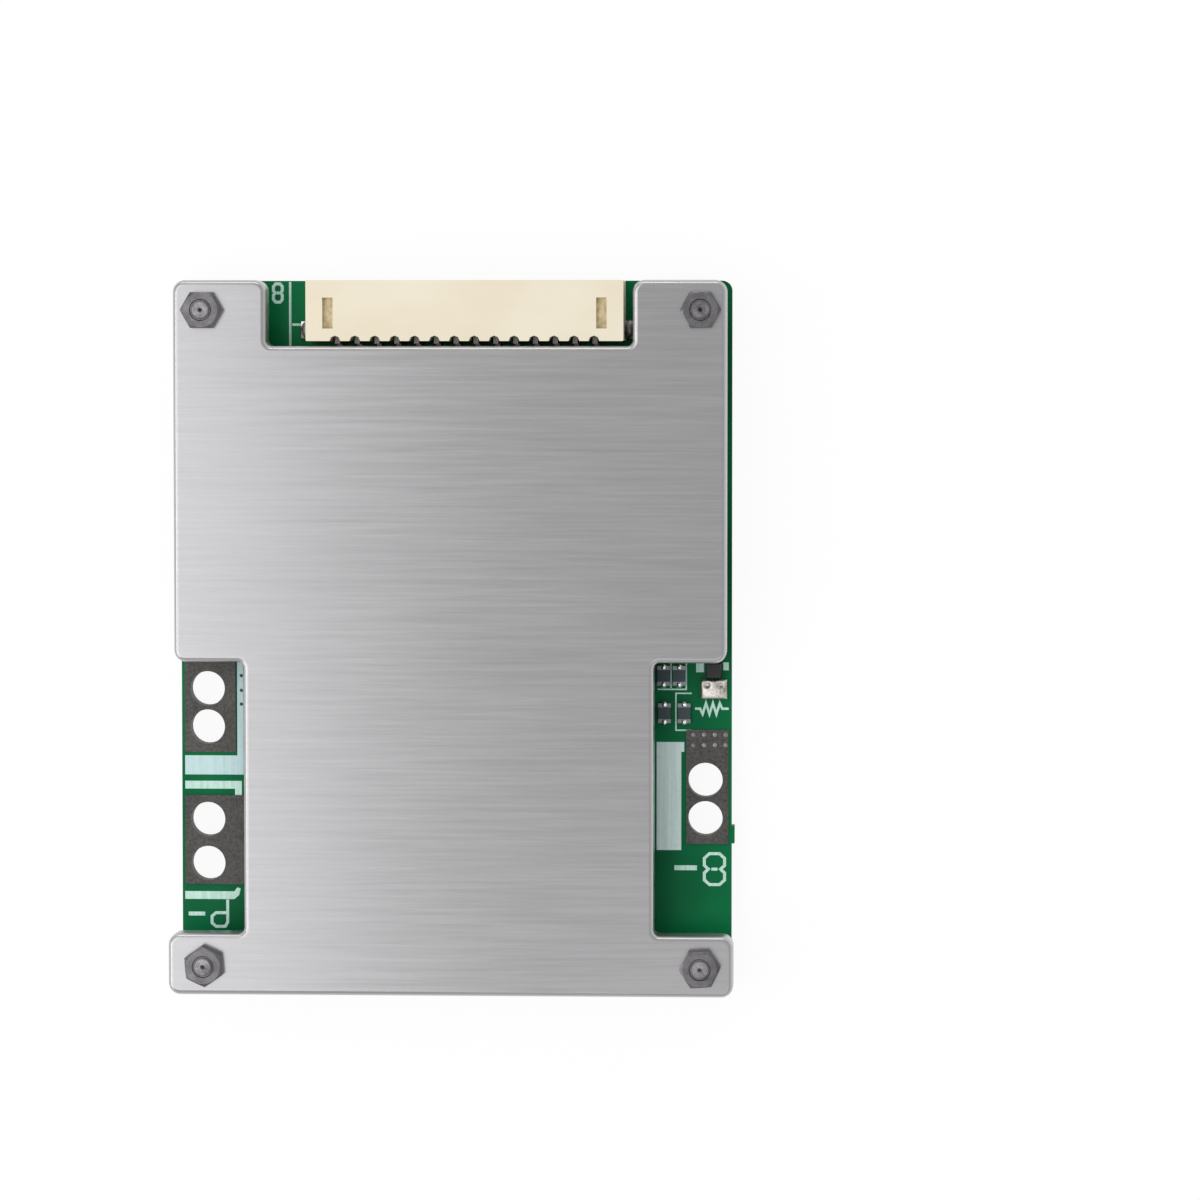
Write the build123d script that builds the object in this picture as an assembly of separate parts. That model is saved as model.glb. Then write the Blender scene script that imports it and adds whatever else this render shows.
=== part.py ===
from build123d import *
import os
from dataclasses import dataclass

# Battery management board: a green circuit board whose power transistors press, through
# soft pads, on a notched aluminium heat plate. Four screws with nuts hold the stack.
# +X is right, +Y points at the edge with the balance header and +Z leaves the heat plate.
# The origin is the middle of the outline, level with the undersides of the screw heads.

# Circuit board
board_width = 56.0
board_length = 72.0
board_thickness = 1.6
board_corner_radius = 1.0
board_shift_x = 0.2
nub_reach = 0.3
nub_length = 1.8
nub_from_foot_edge = 15.9

# Heat plate, as long as the board, with a foot band a little wider than its body
plate_side_inset = 0.2
plate_thickness = 3.0
foot_overhang = 0.5
foot_length = 6.2
side_notch_length = 27.45
left_notch_depth = 7.0
right_notch_depth = 7.3
plate_outer_radius = 1.2
plate_inner_radius = 0.6
plate_edge_chamfer = 0.4

# Corner screws, nuts and spacers
screw_inset = 3.0
screw_diameter = 2.0
screw_head_diameter = 3.8
screw_head_height = 1.3
screw_end_proud = 0.25
screw_hole_clearance = 0.2
thread_clearance = 0.05
nut_across_flats = 3.6
nut_height = 1.6
spacer_across_flats = 4.0

# Power transistors and the soft pads over them
transistor_rows = 2
transistors_per_row = 4
transistor_stem_margin = 1.0
transistor_width = 6.6
transistor_length = 6.1
transistor_height = 2.3
transistor_taper = 4
transistor_lift = 0.1
tab_width = 5.3
tab_reach = 1.1
tab_thickness = 0.5
transistor_leg_pitch = 4.58
transistor_leg_width = 0.8
transistor_leg_reach = 2.6
thermal_pad_thickness = 0.7
thermal_pad_margin = 0.8

# Solder terminals: pairs of plated holes through tinned lands
terminal_hole_diameter = 3.5
terminal_hole_inset = 2.65
land_thickness = 0.12
land_edge_margin = 0.3
charge_from_shoulder = 5.0
charge_hole_spacing = 3.9
charge_land_from_shoulder = 4.65
charge_land_width = 5.2
charge_land_length = 9.8
load_from_shoulder = 18.65
load_hole_spacing = 4.5
load_land_from_shoulder = 18.5
load_land_width = 7.1
load_land_length = 9.1
battery_from_shoulder = 14.15
battery_hole_spacing = 3.9
battery_land_from_shoulder = 12.9
battery_land_width = 4.3
battery_land_length = 11.6
power_bus_width = 6.0
power_bus_far_gap = 15.5
battery_bus_width = 4.0
battery_bus_from_shoulder = 11.65
battery_bus_far_gap = 21.5

# Balance header: a side-entry shell with square pins at a 2 mm pitch
pin_count = 14
pin_pitch = 2.0
pin_size = 0.5
pin_post_length = 3.4
pin_foot_length = 1.4
header_end_margin = 2.95
header_right_gap = 0.95
header_left_gap = 3.95
header_rear_gap = 0.5
header_depth = 6.1
header_height = 5.5
header_wall = 0.9
header_end_wall = 1.5
header_rear_wall = 1.5
header_mouth_chamfer = 0.3
header_edge_round = 0.15
comb_radius = 0.55
comb_sides = 8
roof_recess_width = 1.05
roof_recess_length = 3.1
roof_recess_depth = 0.6
roof_recess_setback = 1.75
roof_recess_from_end = 2.2
header_tab_thickness = 0.25
header_tab_width = 1.7
header_tab_height = 2.6
header_tab_foot = 1.0
header_tab_from_rear = 0.3

# Leaded packages of the monitor circuits
controller_width = 8.2
controller_length = 5.3
controller_height = 1.75
controller_legs = 12
controller_leg_pitch = 0.65
sense_width = 4.9
sense_length = 3.9
sense_height = 1.6
sense_legs = 4
sense_leg_pitch = 1.27
leg_reach = 1.1
leg_thickness = 0.2
leg_shoulder_share = 0.4
leg_slope_share = 0.1
controller_leg_width = 0.3
sense_leg_width = 0.42
package_taper = 6
controller_spacing = 26.0

# Small transistors and the chip parts of each balance channel
channel_margin = 4.0
small_transistor_width = 2.9
small_transistor_length = 1.3
small_transistor_height = 1.0
small_leg_spacing = 1.9
small_leg_width = 0.4
small_leg_reach = 0.55

# Chip parts: length, width and height of each case size
large_chip = (3.2, 1.6, 0.55)
medium_chip = (2.0, 1.25, 0.5)
small_chip = (1.6, 0.8, 0.8)
sense_chip = (6.35, 3.2, 0.6)
chip_cap_share = 0.2
chip_cap_proud = 0.03
shunt_count = 4
shunt_pitch = 8.0
shunt_from_foot_edge = 3.0

# Parts that show in the right-hand notch, from its shoulder and from the plate's stem
notch_chip_rows = (1.6, 5.4)
notch_chip_columns = ((0.8, 2.4), (0.9, 2.9))
sensor_inset = 1.8
sensor_from_shoulder = 1.05
sensor_size = (1.6, 1.6, 1.2)
sensor_gap = 0.1
solder_size = (2.7, 2.0, 0.9)
solder_round = 0.3

# Heights of the stack
board_bottom = screw_head_height
board_top = board_bottom + board_thickness
plate_bottom = board_top + transistor_height + thermal_pad_thickness
plate_top = plate_bottom + plate_thickness
nut_top = plate_top + nut_height

# Edges of the plate and the board
plate_width = board_width - 2 * plate_side_inset
foot_width = board_width + 2 * foot_overhang
header_edge_y = board_length / 2
foot_edge_y = -board_length / 2
foot_top_y = foot_edge_y + foot_length
shoulder_y = foot_top_y + side_notch_length
stem_left_x = -plate_width / 2 + left_notch_depth
stem_right_x = plate_width / 2 - right_notch_depth
board_left_x = board_shift_x - board_width / 2
board_right_x = board_shift_x + board_width / 2

# The header and the notch that clears it, nearer the right-hand wall
header_width = (pin_count - 1) * pin_pitch + 2 * header_end_margin
header_notch_x = (header_left_gap + header_width + header_right_gap) / 2
header_right_x = header_notch_x - header_right_gap
header_left_x = header_right_x - header_width
header_rear_y = header_edge_y - header_depth
header_pin_z = board_top + header_height / 2

# One balance channel for each cell, between neighbouring pins
channel_count = pin_count - 1
channel_pitch = (board_width - 2 * channel_margin) / (channel_count - 1)

# Power transistors side by side under the plate's stem
stem_room = stem_right_x - stem_left_x - 2 * transistor_stem_margin
transistor_pitch = (stem_room - transistor_width) / (transistors_per_row - 1)


def spread(top, bottom, lengths):
    """Centres of rows of the given lengths, with equal gaps above, between and below them."""
    gap = (top - bottom - sum(lengths)) / (len(lengths) + 1)
    centres = []
    for length in lengths:
        centres.append(top - gap - length / 2)
        top -= gap + length
    return centres


# Rows between the header's feet and the shoulder, and below the shoulder
monitor_row_length = controller_length + 2 * leg_reach
head_rows = spread(
    header_rear_y - pin_foot_length,
    shoulder_y,
    [large_chip[0], small_transistor_width, small_chip[0], monitor_row_length],
)
resistor_row_y, small_transistor_row_y, filter_row_y, monitor_row_y = head_rows
transistor_row_length = transistor_length + tab_reach + transistor_leg_reach
shunt_y = foot_edge_y + shunt_from_foot_edge + sense_chip[1] / 2
transistor_rows_y = spread(
    shoulder_y, shunt_y + sense_chip[1] / 2, [transistor_row_length] * transistor_rows
)


@dataclass
class Terminal:
    """One solder terminal: which side it is on, its pair of holes, its land and its bus."""

    side: int
    pair_y: float
    hole_spacing: float
    land_y: float
    land_width: float
    land_length: float
    bus_y: float
    bus_width: float
    bus_far_gap: float

    def edge_x(self):
        return board_left_x if self.side < 0 else board_right_x

    def bus_end_x(self):
        far_edge = board_right_x if self.side < 0 else board_left_x
        return far_edge + self.side * self.bus_far_gap

    def hole_places(self):
        x = self.edge_x() - self.side * terminal_hole_inset
        return [(x, self.pair_y - self.hole_spacing / 2), (x, self.pair_y + self.hole_spacing / 2)]


charge_terminal = Terminal(
    side=-1,
    pair_y=shoulder_y - charge_from_shoulder,
    hole_spacing=charge_hole_spacing,
    land_y=shoulder_y - charge_land_from_shoulder,
    land_width=charge_land_width,
    land_length=charge_land_length,
    bus_y=shoulder_y - charge_land_from_shoulder,
    bus_width=power_bus_width,
    bus_far_gap=power_bus_far_gap,
)
load_terminal = Terminal(
    side=-1,
    pair_y=shoulder_y - load_from_shoulder,
    hole_spacing=load_hole_spacing,
    land_y=shoulder_y - load_land_from_shoulder,
    land_width=load_land_width,
    land_length=load_land_length,
    bus_y=shoulder_y - load_land_from_shoulder,
    bus_width=power_bus_width,
    bus_far_gap=power_bus_far_gap,
)
battery_terminal = Terminal(
    side=1,
    pair_y=shoulder_y - battery_from_shoulder,
    hole_spacing=battery_hole_spacing,
    land_y=shoulder_y - battery_land_from_shoulder,
    land_width=battery_land_width,
    land_length=battery_land_length,
    bus_y=shoulder_y - battery_bus_from_shoulder,
    bus_width=battery_bus_width,
    bus_far_gap=battery_bus_far_gap,
)
terminals = {
    "terminal_land_charge": charge_terminal,
    "terminal_land_load": load_terminal,
    "terminal_land_battery": battery_terminal,
}


def screw_places():
    """Centres of the four corner screws, inset from the board's edges."""
    reach_x = board_width / 2 - screw_inset
    reach_y = board_length / 2 - screw_inset
    return [(board_shift_x + sx * reach_x, sy * reach_y) for sx in (-1, 1) for sy in (-1, 1)]


def block(x_range, y_range, z_range):
    """A box between two limits on each axis."""
    size = [limits[1] - limits[0] for limits in (x_range, y_range, z_range)]
    middle = [sum(limits) / 2 for limits in (x_range, y_range, z_range)]
    return Pos(*middle) * Box(*size)


def drill(radius, depth):
    """A cylinder that stands on its own origin."""
    return Cylinder(radius, depth, align=(Align.CENTER, Align.CENTER, Align.MIN))


def circuit_board():
    hole_radius = (screw_diameter + screw_hole_clearance) / 2
    outline = RectangleRounded(board_width, board_length, board_corner_radius)
    blank = Pos(board_shift_x, 0, board_bottom) * extrude(outline, board_thickness)
    nub_y = -board_length / 2 + nub_from_foot_edge
    blank += block(
        (board_right_x - board_corner_radius, board_right_x + nub_reach),
        (nub_y - nub_length / 2, nub_y + nub_length / 2),
        (board_bottom, board_top),
    )
    for x, y in screw_places():
        blank -= Pos(x, y, board_bottom) * drill(hole_radius, board_thickness)
    for terminal in terminals.values():
        for x, y in terminal.hole_places():
            barrel_radius = terminal_hole_diameter / 2 + land_thickness
            blank -= Pos(x, y, board_bottom) * drill(barrel_radius, board_thickness)
    return blank


def heat_plate():
    """Extruded outline with three notches, its upper edge chamfered all the way round."""
    body_x = plate_width / 2
    foot_x = foot_width / 2
    notch_x = header_notch_x
    notch_y = header_rear_y - header_rear_gap
    outer, inner = plate_outer_radius, plate_inner_radius
    corners = [
        ((-foot_x, foot_edge_y), outer),
        ((foot_x, foot_edge_y), outer),
        ((foot_x, foot_top_y), outer),
        ((stem_right_x, foot_top_y), inner),
        ((stem_right_x, shoulder_y), inner),
        ((body_x, shoulder_y), outer),
        ((body_x, header_edge_y), outer),
        ((notch_x, header_edge_y), outer),
        ((notch_x, notch_y), inner),
        ((-notch_x, notch_y), inner),
        ((-notch_x, header_edge_y), outer),
        ((-body_x, header_edge_y), outer),
        ((-body_x, shoulder_y), outer),
        ((stem_left_x, shoulder_y), inner),
        ((stem_left_x, foot_top_y), inner),
        ((-foot_x, foot_top_y), outer),
    ]
    points = [corner[0] for corner in corners]
    radii = [corner[1] for corner in corners]
    outline = make_face(FilletPolyline(*points, radius=radii, close=True))
    plate = Pos(0, 0, plate_bottom) * extrude(outline, plate_thickness)
    plate = chamfer(plate.edges().group_by(Axis.Z)[-1], plate_edge_chamfer)
    hole_radius = (screw_diameter + screw_hole_clearance) / 2
    for x, y in screw_places():
        plate -= Pos(x, y, plate_bottom) * drill(hole_radius, plate_thickness)
    return plate


def corner_screw():
    """Pan-head screw, head down, its end standing a little proud of the nut."""
    head = drill(screw_head_diameter / 2, screw_head_height)
    shank_length = nut_top + screw_end_proud - screw_head_height
    return head + Pos(0, 0, screw_head_height) * drill(screw_diameter / 2, shank_length)


def hexagon(across_flats, height):
    """A hexagonal prism that stands on its own origin, two of its corners on X."""
    return extrude(RegularPolygon(across_flats / 3**0.5, 6), height)


def hex_nut():
    bore = drill(screw_diameter / 2 + thread_clearance, nut_height)
    return hexagon(nut_across_flats, nut_height) - bore


def spacer():
    """Plain-bored hexagonal spacer between the board and the heat plate."""
    length = plate_bottom - board_top
    bore = drill((screw_diameter + screw_hole_clearance) / 2, length)
    return hexagon(spacer_across_flats, length) - bore


def gull_leg(start_y, start_z, reach, thickness, width):
    """A flat leg that leaves a body at start_z, bends down and ends in a foot on the board."""
    knee_y = start_y - leg_shoulder_share * reach
    path = Polyline(
        (start_y, start_z),
        (knee_y, start_z),
        (knee_y - leg_slope_share * reach, thickness / 2),
        (start_y - reach, thickness / 2),
    )
    profile = trace(path, thickness)
    return extrude(Plane.YZ * profile, width / 2, both=True)


def power_transistor():
    """Flat power package: moulded body, metal tab behind it and two legs in front."""
    body = Pos(0, 0, transistor_lift) * extrude(
        Rectangle(transistor_width, transistor_length),
        transistor_height - transistor_lift,
        taper=transistor_taper,
    )
    tab = block(
        (-tab_width / 2, tab_width / 2),
        (0, transistor_length / 2 + tab_reach),
        (0, tab_thickness),
    )
    package = body + tab
    leg = gull_leg(
        -transistor_length / 2 + transistor_leg_width,
        transistor_height / 2,
        transistor_leg_reach + transistor_leg_width,
        tab_thickness,
        transistor_leg_width,
    )
    for side in (-1, 1):
        package += Pos(side * transistor_leg_pitch / 2, 0, 0) * leg
    return package


def transistor_row_x():
    """The x of each transistor in a row, centred on the plate's stem."""
    middle_x = (stem_left_x + stem_right_x) / 2
    first_x = middle_x - (transistors_per_row - 1) / 2 * transistor_pitch
    return [first_x + column * transistor_pitch for column in range(transistors_per_row)]


def transistor_body_y(row_y):
    """Centre of the mouldings in a row whose tabs and legs reach out unequally."""
    return row_y + (transistor_leg_reach - tab_reach) / 2


def thermal_pad(row_y):
    """Soft strip between one row of transistors and the heat plate."""
    y = transistor_body_y(row_y)
    half_x = transistor_width / 2 + thermal_pad_margin
    half_y = transistor_length / 2 + thermal_pad_margin
    return block(
        (transistor_row_x()[0] - half_x, transistor_row_x()[-1] + half_x),
        (y - half_y, y + half_y),
        (plate_bottom - thermal_pad_thickness, plate_bottom),
    )


def terminal_land(terminal):
    """Tinned land on both faces of the board, joined by its plated holes, with a bus behind."""
    outer_x = terminal.edge_x() - terminal.side * land_edge_margin
    inner_x = outer_x - terminal.side * terminal.land_width
    land_x = sorted((outer_x, inner_x))
    land_y = (terminal.land_y - terminal.land_length / 2, terminal.land_y + terminal.land_length / 2)
    bus_x = sorted((outer_x, terminal.bus_end_x()))
    bus_y = (terminal.bus_y - terminal.bus_width / 2, terminal.bus_y + terminal.bus_width / 2)
    back_z = (board_bottom - land_thickness, board_bottom)
    metal = block(land_x, land_y, (board_top, board_top + land_thickness))
    metal += block(land_x, land_y, back_z) + block(bus_x, bus_y, back_z)
    radius = terminal_hole_diameter / 2
    for x, y in terminal.hole_places():
        metal += Pos(x, y, board_bottom) * drill(radius + land_thickness, board_thickness)
    bore = drill(radius, board_thickness + 2 * land_thickness)
    for x, y in terminal.hole_places():
        metal -= Pos(x, y, board_bottom - land_thickness) * bore
    return metal


def header_pin_places():
    """The x of each pin, inside the end margins of the header."""
    return [header_left_x + header_end_margin + i * pin_pitch for i in range(pin_count)]


def header_housing():
    """Moulded shell: open mouth at the board's edge, two recesses above, comb at the rear."""
    left, right, rear = header_left_x, header_right_x, header_rear_y
    header_top = board_top + header_height
    floor, roof = board_top + header_wall, header_top - header_wall
    cavity_rear = rear + header_rear_wall
    shell = block((left, right), (rear, header_edge_y), (board_top, header_top))
    shell = fillet(shell.edges().filter_by(Axis.Z), header_edge_round)
    cavity_x = (left + header_end_wall, right - header_end_wall)
    shell -= block(cavity_x, (cavity_rear, header_edge_y), (floor, roof))
    mouth = [
        edge
        for edge in shell.edges().group_by(Axis.Y)[-1]
        if cavity_x[0] <= edge.center().X <= cavity_x[1] and floor <= edge.center().Z <= roof
    ]
    shell = chamfer(mouth, header_mouth_chamfer)
    recess_rear = header_edge_y - roof_recess_setback - roof_recess_length
    for x in (left + roof_recess_from_end, right - roof_recess_from_end):
        recess_x = (x - roof_recess_width / 2, x + roof_recess_width / 2)
        recess_y = (recess_rear, recess_rear + roof_recess_length)
        shell -= block(recess_x, recess_y, (header_top - roof_recess_depth, header_top))
    comb_notch = RegularPolygon(comb_radius, comb_sides)
    for x in header_pin_places():
        shell -= Pos(x, rear, board_top) * extrude(comb_notch, header_height)
        pin_x = (x - pin_size / 2, x + pin_size / 2)
        pin_z = (header_pin_z - pin_size / 2, header_pin_z + pin_size / 2)
        shell -= block(pin_x, (rear, cavity_rear), pin_z)
    tab_y = (rear + header_tab_from_rear, rear + header_tab_from_rear + header_tab_width)
    tab_z = (board_top, board_top + header_tab_height)
    shell -= block((left, left + header_tab_thickness), tab_y, tab_z)
    shell -= block((right - header_tab_thickness, right), tab_y, tab_z)
    return shell


def header_pin(x):
    """Square pin: a post in the shell, a bend in the comb and a foot on the board."""
    tip_y = header_rear_y + header_rear_wall + pin_post_length
    foot_z = board_top + pin_size / 2
    path = Polyline(
        (tip_y, header_pin_z),
        (header_rear_y, header_pin_z),
        (header_rear_y, foot_z),
        (header_rear_y - pin_foot_length, foot_z),
    )
    pin = extrude(Plane.YZ * trace(path, pin_size), pin_size / 2, both=True)
    return Pos(x, 0, 0) * pin


def header_tab(side):
    """Solder tab that sits flush in one end of the shell, with its foot on the board."""
    inner_x = header_tab_thickness
    upright = block((0, inner_x), (0, header_tab_width), (0, header_tab_height))
    foot = block((-header_tab_foot, inner_x), (0, header_tab_width), (0, header_tab_thickness))
    tab = Pos(0, header_rear_y + header_tab_from_rear, board_top) * (upright + foot)
    if side < 0:
        return Pos(header_left_x, 0, 0) * tab
    return Pos(header_right_x, 0, 0) * mirror(tab, Plane.YZ)


def leaded_package(size, legs, leg_pitch, leg_width):
    """Moulded package, tapered above its legs, with a row of bent legs on each long side."""
    width, length, height = size
    lift = leg_thickness / 2
    body = Pos(0, 0, lift) * extrude(Rectangle(width, length), height - lift, taper=package_taper)
    leg = gull_leg(-length / 2 + leg_width, height / 2, leg_reach + leg_width, leg_thickness, leg_width)
    for i in range(legs):
        x = (i - (legs - 1) / 2) * leg_pitch
        body += Pos(x, 0, 0) * leg
        body += Pos(x, 0, 0) * Rot(0, 0, 180) * leg
    return body


def small_transistor():
    """Small package with three flat leads: two in front, one behind."""
    size = (small_transistor_width, small_transistor_length)
    body = Pos(0, 0, leg_thickness / 2) * extrude(
        Rectangle(*size), small_transistor_height - leg_thickness / 2, taper=package_taper
    )
    reach = small_transistor_length / 2 + small_leg_reach
    lead = block((-small_leg_width / 2, small_leg_width / 2), (-reach, 0), (0, leg_thickness))
    for side in (-1, 1):
        body += Pos(side * small_leg_spacing / 2, 0, 0) * lead
    return body + Rot(0, 0, 180) * lead


def chip_part(size, along_y=False):
    """Chip resistor or capacitor: a plain body with a slightly proud cap at each end."""
    length, width, height = size
    cap = chip_cap_share * length
    body = block(
        (-length / 2, length / 2),
        (-width / 2, width / 2),
        (0, height - chip_cap_proud),
    )
    for side in (-1, 1):
        middle = side * (length - cap) / 2
        body += block(
            (middle - cap / 2, middle + cap / 2),
            (-width / 2 - chip_cap_proud, width / 2 + chip_cap_proud),
            (0, height),
        )
    return Rot(0, 0, 90) * body if along_y else body


def channel_row(part, y):
    """One copy of a part for each balance channel, side by side across the board."""
    first_x = board_left_x + channel_margin
    return [Pos(first_x + i * channel_pitch, y, board_top) * part for i in range(channel_count)]


def temperature_sensor():
    """Small moulded sensor beside the shoulder of the right-hand notch."""
    width, length, height = sensor_size
    body = extrude(Rectangle(width, length), height, taper=package_taper)
    x = board_right_x - sensor_inset
    return Pos(x, shoulder_y - sensor_from_shoulder, board_top) * body


def sensor_solder():
    """Block of solder that holds the sensor's leads, rounded above."""
    width, length, height = solder_size
    body = extrude(Rectangle(width, length), height)
    body = fillet(body.edges().group_by(Axis.Z)[-1], solder_round)
    y = shoulder_y - sensor_from_shoulder - sensor_size[1] / 2 - sensor_gap - length / 2
    return Pos(board_right_x - sensor_inset, y, board_top) * body


def save(name, shape):
    export_step(shape, f"parts/{name}.step")


def save_group(name, solids):
    export_step(Compound(children=[solid.solid() for solid in solids]), f"parts/{name}.step")


def main():
    os.makedirs("parts", exist_ok=True)
    save("circuit_board", circuit_board())
    save("heat_plate", heat_plate())
    screws = screw_places()
    save_group("corner_screws", [Pos(x, y, 0) * corner_screw() for x, y in screws])
    save_group("hex_nuts", [Pos(x, y, plate_top) * hex_nut() for x, y in screws])
    save_group("spacers", [Pos(x, y, board_top) * spacer() for x, y in screws])

    number = 0
    for row, row_y in enumerate(transistor_rows_y, start=1):
        save(f"thermal_pad_{row}", thermal_pad(row_y))
        for x in transistor_row_x():
            number += 1
            place = Pos(x, transistor_body_y(row_y), board_top)
            save(f"power_transistor_{number:02d}", place * power_transistor())
    for name, terminal in terminals.items():
        save(name, terminal_land(terminal))

    save("header_housing", header_housing())
    for number, x in enumerate(header_pin_places(), start=1):
        save(f"header_pin_{number:02d}", header_pin(x))
    save("header_tab_left", header_tab(-1))
    save("header_tab_right", header_tab(1))

    controller = leaded_package(
        (controller_width, controller_length, controller_height),
        controller_legs, controller_leg_pitch, controller_leg_width,
    )
    sense = leaded_package(
        (sense_width, sense_length, sense_height), sense_legs, sense_leg_pitch, sense_leg_width
    )
    for name, side in (("controller_1", -1), ("controller_2", 1)):
        x = board_shift_x + side * controller_spacing / 2
        save(name, Pos(x, monitor_row_y, board_top) * controller)
    save("sense_amplifier", Pos(board_shift_x, monitor_row_y, board_top) * sense)

    save_group("balance_resistors", channel_row(chip_part(large_chip, True), resistor_row_y))
    upright_transistor = Rot(0, 0, 90) * small_transistor()
    save_group("balance_transistors", channel_row(upright_transistor, small_transistor_row_y))
    save_group("filter_capacitors", channel_row(chip_part(small_chip, True), filter_row_y))
    for number in range(shunt_count):
        x = board_shift_x + (number - (shunt_count - 1) / 2) * shunt_pitch
        save(f"shunt_resistor_{number + 1}", Pos(x, shunt_y, board_top) * chip_part(sense_chip))

    number = 0
    for from_shoulder, columns in zip(notch_chip_rows, notch_chip_columns):
        for from_stem in columns:
            number += 1
            place = Pos(stem_right_x + from_stem, shoulder_y - from_shoulder, board_top)
            save(f"notch_chip_{number}", place * chip_part(medium_chip, True))
    save("temperature_sensor", temperature_sensor())
    save("sensor_solder", sensor_solder())


main()
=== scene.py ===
"""Battery management board: finishes, legend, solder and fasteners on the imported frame."""

import math

import bmesh
import bpy
from bpy.props import FloatProperty, FloatVectorProperty, IntProperty, PointerProperty
from mathutils import Matrix, Vector


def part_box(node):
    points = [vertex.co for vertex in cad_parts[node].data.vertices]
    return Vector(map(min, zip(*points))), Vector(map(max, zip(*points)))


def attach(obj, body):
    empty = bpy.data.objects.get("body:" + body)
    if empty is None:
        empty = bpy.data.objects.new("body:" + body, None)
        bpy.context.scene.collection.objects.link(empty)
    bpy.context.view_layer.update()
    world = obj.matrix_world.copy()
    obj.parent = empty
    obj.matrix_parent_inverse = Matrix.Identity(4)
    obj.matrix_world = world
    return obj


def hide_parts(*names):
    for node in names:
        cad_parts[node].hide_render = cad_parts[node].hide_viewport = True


bl_info = {
    "name": "Battery Management Board",
    "version": (1, 0, 0),
    "blender": (4, 5, 0),
    "location": "3D View > Sidebar > Board",
    "description": "Dresses a packed battery board with finishes, solder, legend and fasteners",
    "category": "Object",
}

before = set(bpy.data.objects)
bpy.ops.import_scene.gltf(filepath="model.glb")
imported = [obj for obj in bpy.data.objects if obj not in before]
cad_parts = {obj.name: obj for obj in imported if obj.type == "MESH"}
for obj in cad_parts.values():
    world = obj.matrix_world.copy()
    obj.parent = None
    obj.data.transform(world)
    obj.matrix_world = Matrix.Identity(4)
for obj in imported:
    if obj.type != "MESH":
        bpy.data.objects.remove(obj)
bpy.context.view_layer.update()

MM = 0.001
WHITE = (1.0, 1.0, 1.0, 1.0)
BRIGHT_TIN = (0.62, 0.61, 0.59, 1.0)

BOARD_LOW, BOARD_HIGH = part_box("circuit_board")
PLATE_LOW, PLATE_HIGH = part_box("heat_plate")
SCREW_LOW, SCREW_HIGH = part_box("corner_screws")
NUT_LOW, NUT_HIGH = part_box("hex_nuts")
HEADER_LOW, HEADER_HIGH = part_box("header_housing")
TIN_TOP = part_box("terminal_land_charge")[1].z
TIN_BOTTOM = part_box("terminal_land_charge")[0].z


# Graphs of nodes


class Wire:
    """A node's output that takes part in Python expressions, for shader and geometry trees."""

    def __init__(self, graph, socket):
        self.graph = graph
        self.socket = socket

    def __add__(self, other):
        return self.graph.math("ADD", self, other)

    def __radd__(self, other):
        return self.graph.math("ADD", other, self)

    def __sub__(self, other):
        return self.graph.math("SUBTRACT", self, other)

    def __rsub__(self, other):
        return self.graph.math("SUBTRACT", other, self)

    def __mul__(self, other):
        return self.graph.math("MULTIPLY", self, other)

    def __rmul__(self, other):
        return self.graph.math("MULTIPLY", other, self)

    def __truediv__(self, other):
        return self.graph.math("DIVIDE", self, other)

    def __rtruediv__(self, other):
        return self.graph.math("DIVIDE", other, self)

    def __abs__(self):
        return self.graph.math("ABSOLUTE", self)

    def __gt__(self, other):
        return self.graph.math("GREATER_THAN", self, other)

    def __lt__(self, other):
        return self.graph.math("LESS_THAN", self, other)


def find_socket(sockets, label):
    """The socket at an index, or the enabled one with that name."""
    if isinstance(label, int):
        return sockets[label]
    for socket in sockets:
        if socket.name == label and socket.enabled:
            return socket
    raise KeyError(f"no socket named {label!r}")


class Graph:
    """Adds nodes to one tree, each with its settings first and its inputs after."""

    def __init__(self, tree):
        self.tree = tree

    def node(self, kind, settings=None, inputs=None, output=0):
        made = self.tree.nodes.new(kind)
        for label, value in (settings or {}).items():
            setattr(made, label, value)
        for label, value in (inputs or {}).items():
            socket = find_socket(made.inputs, label)
            for part in value if isinstance(value, list) else [value]:
                if isinstance(part, Wire):
                    self.tree.links.new(part.socket, socket)
                else:
                    socket.default_value = part
        return Wire(self, find_socket(made.outputs, output))

    def math(self, operation, *values):
        return self.node("ShaderNodeMath", {"operation": operation}, dict(enumerate(values)))

    def largest(self, first, *others):
        for other in others:
            first = self.math("MAXIMUM", first, other)
        return first

    def vector(self, x, y, z):
        return self.node("ShaderNodeCombineXYZ", None, {"X": x, "Y": y, "Z": z})


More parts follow.
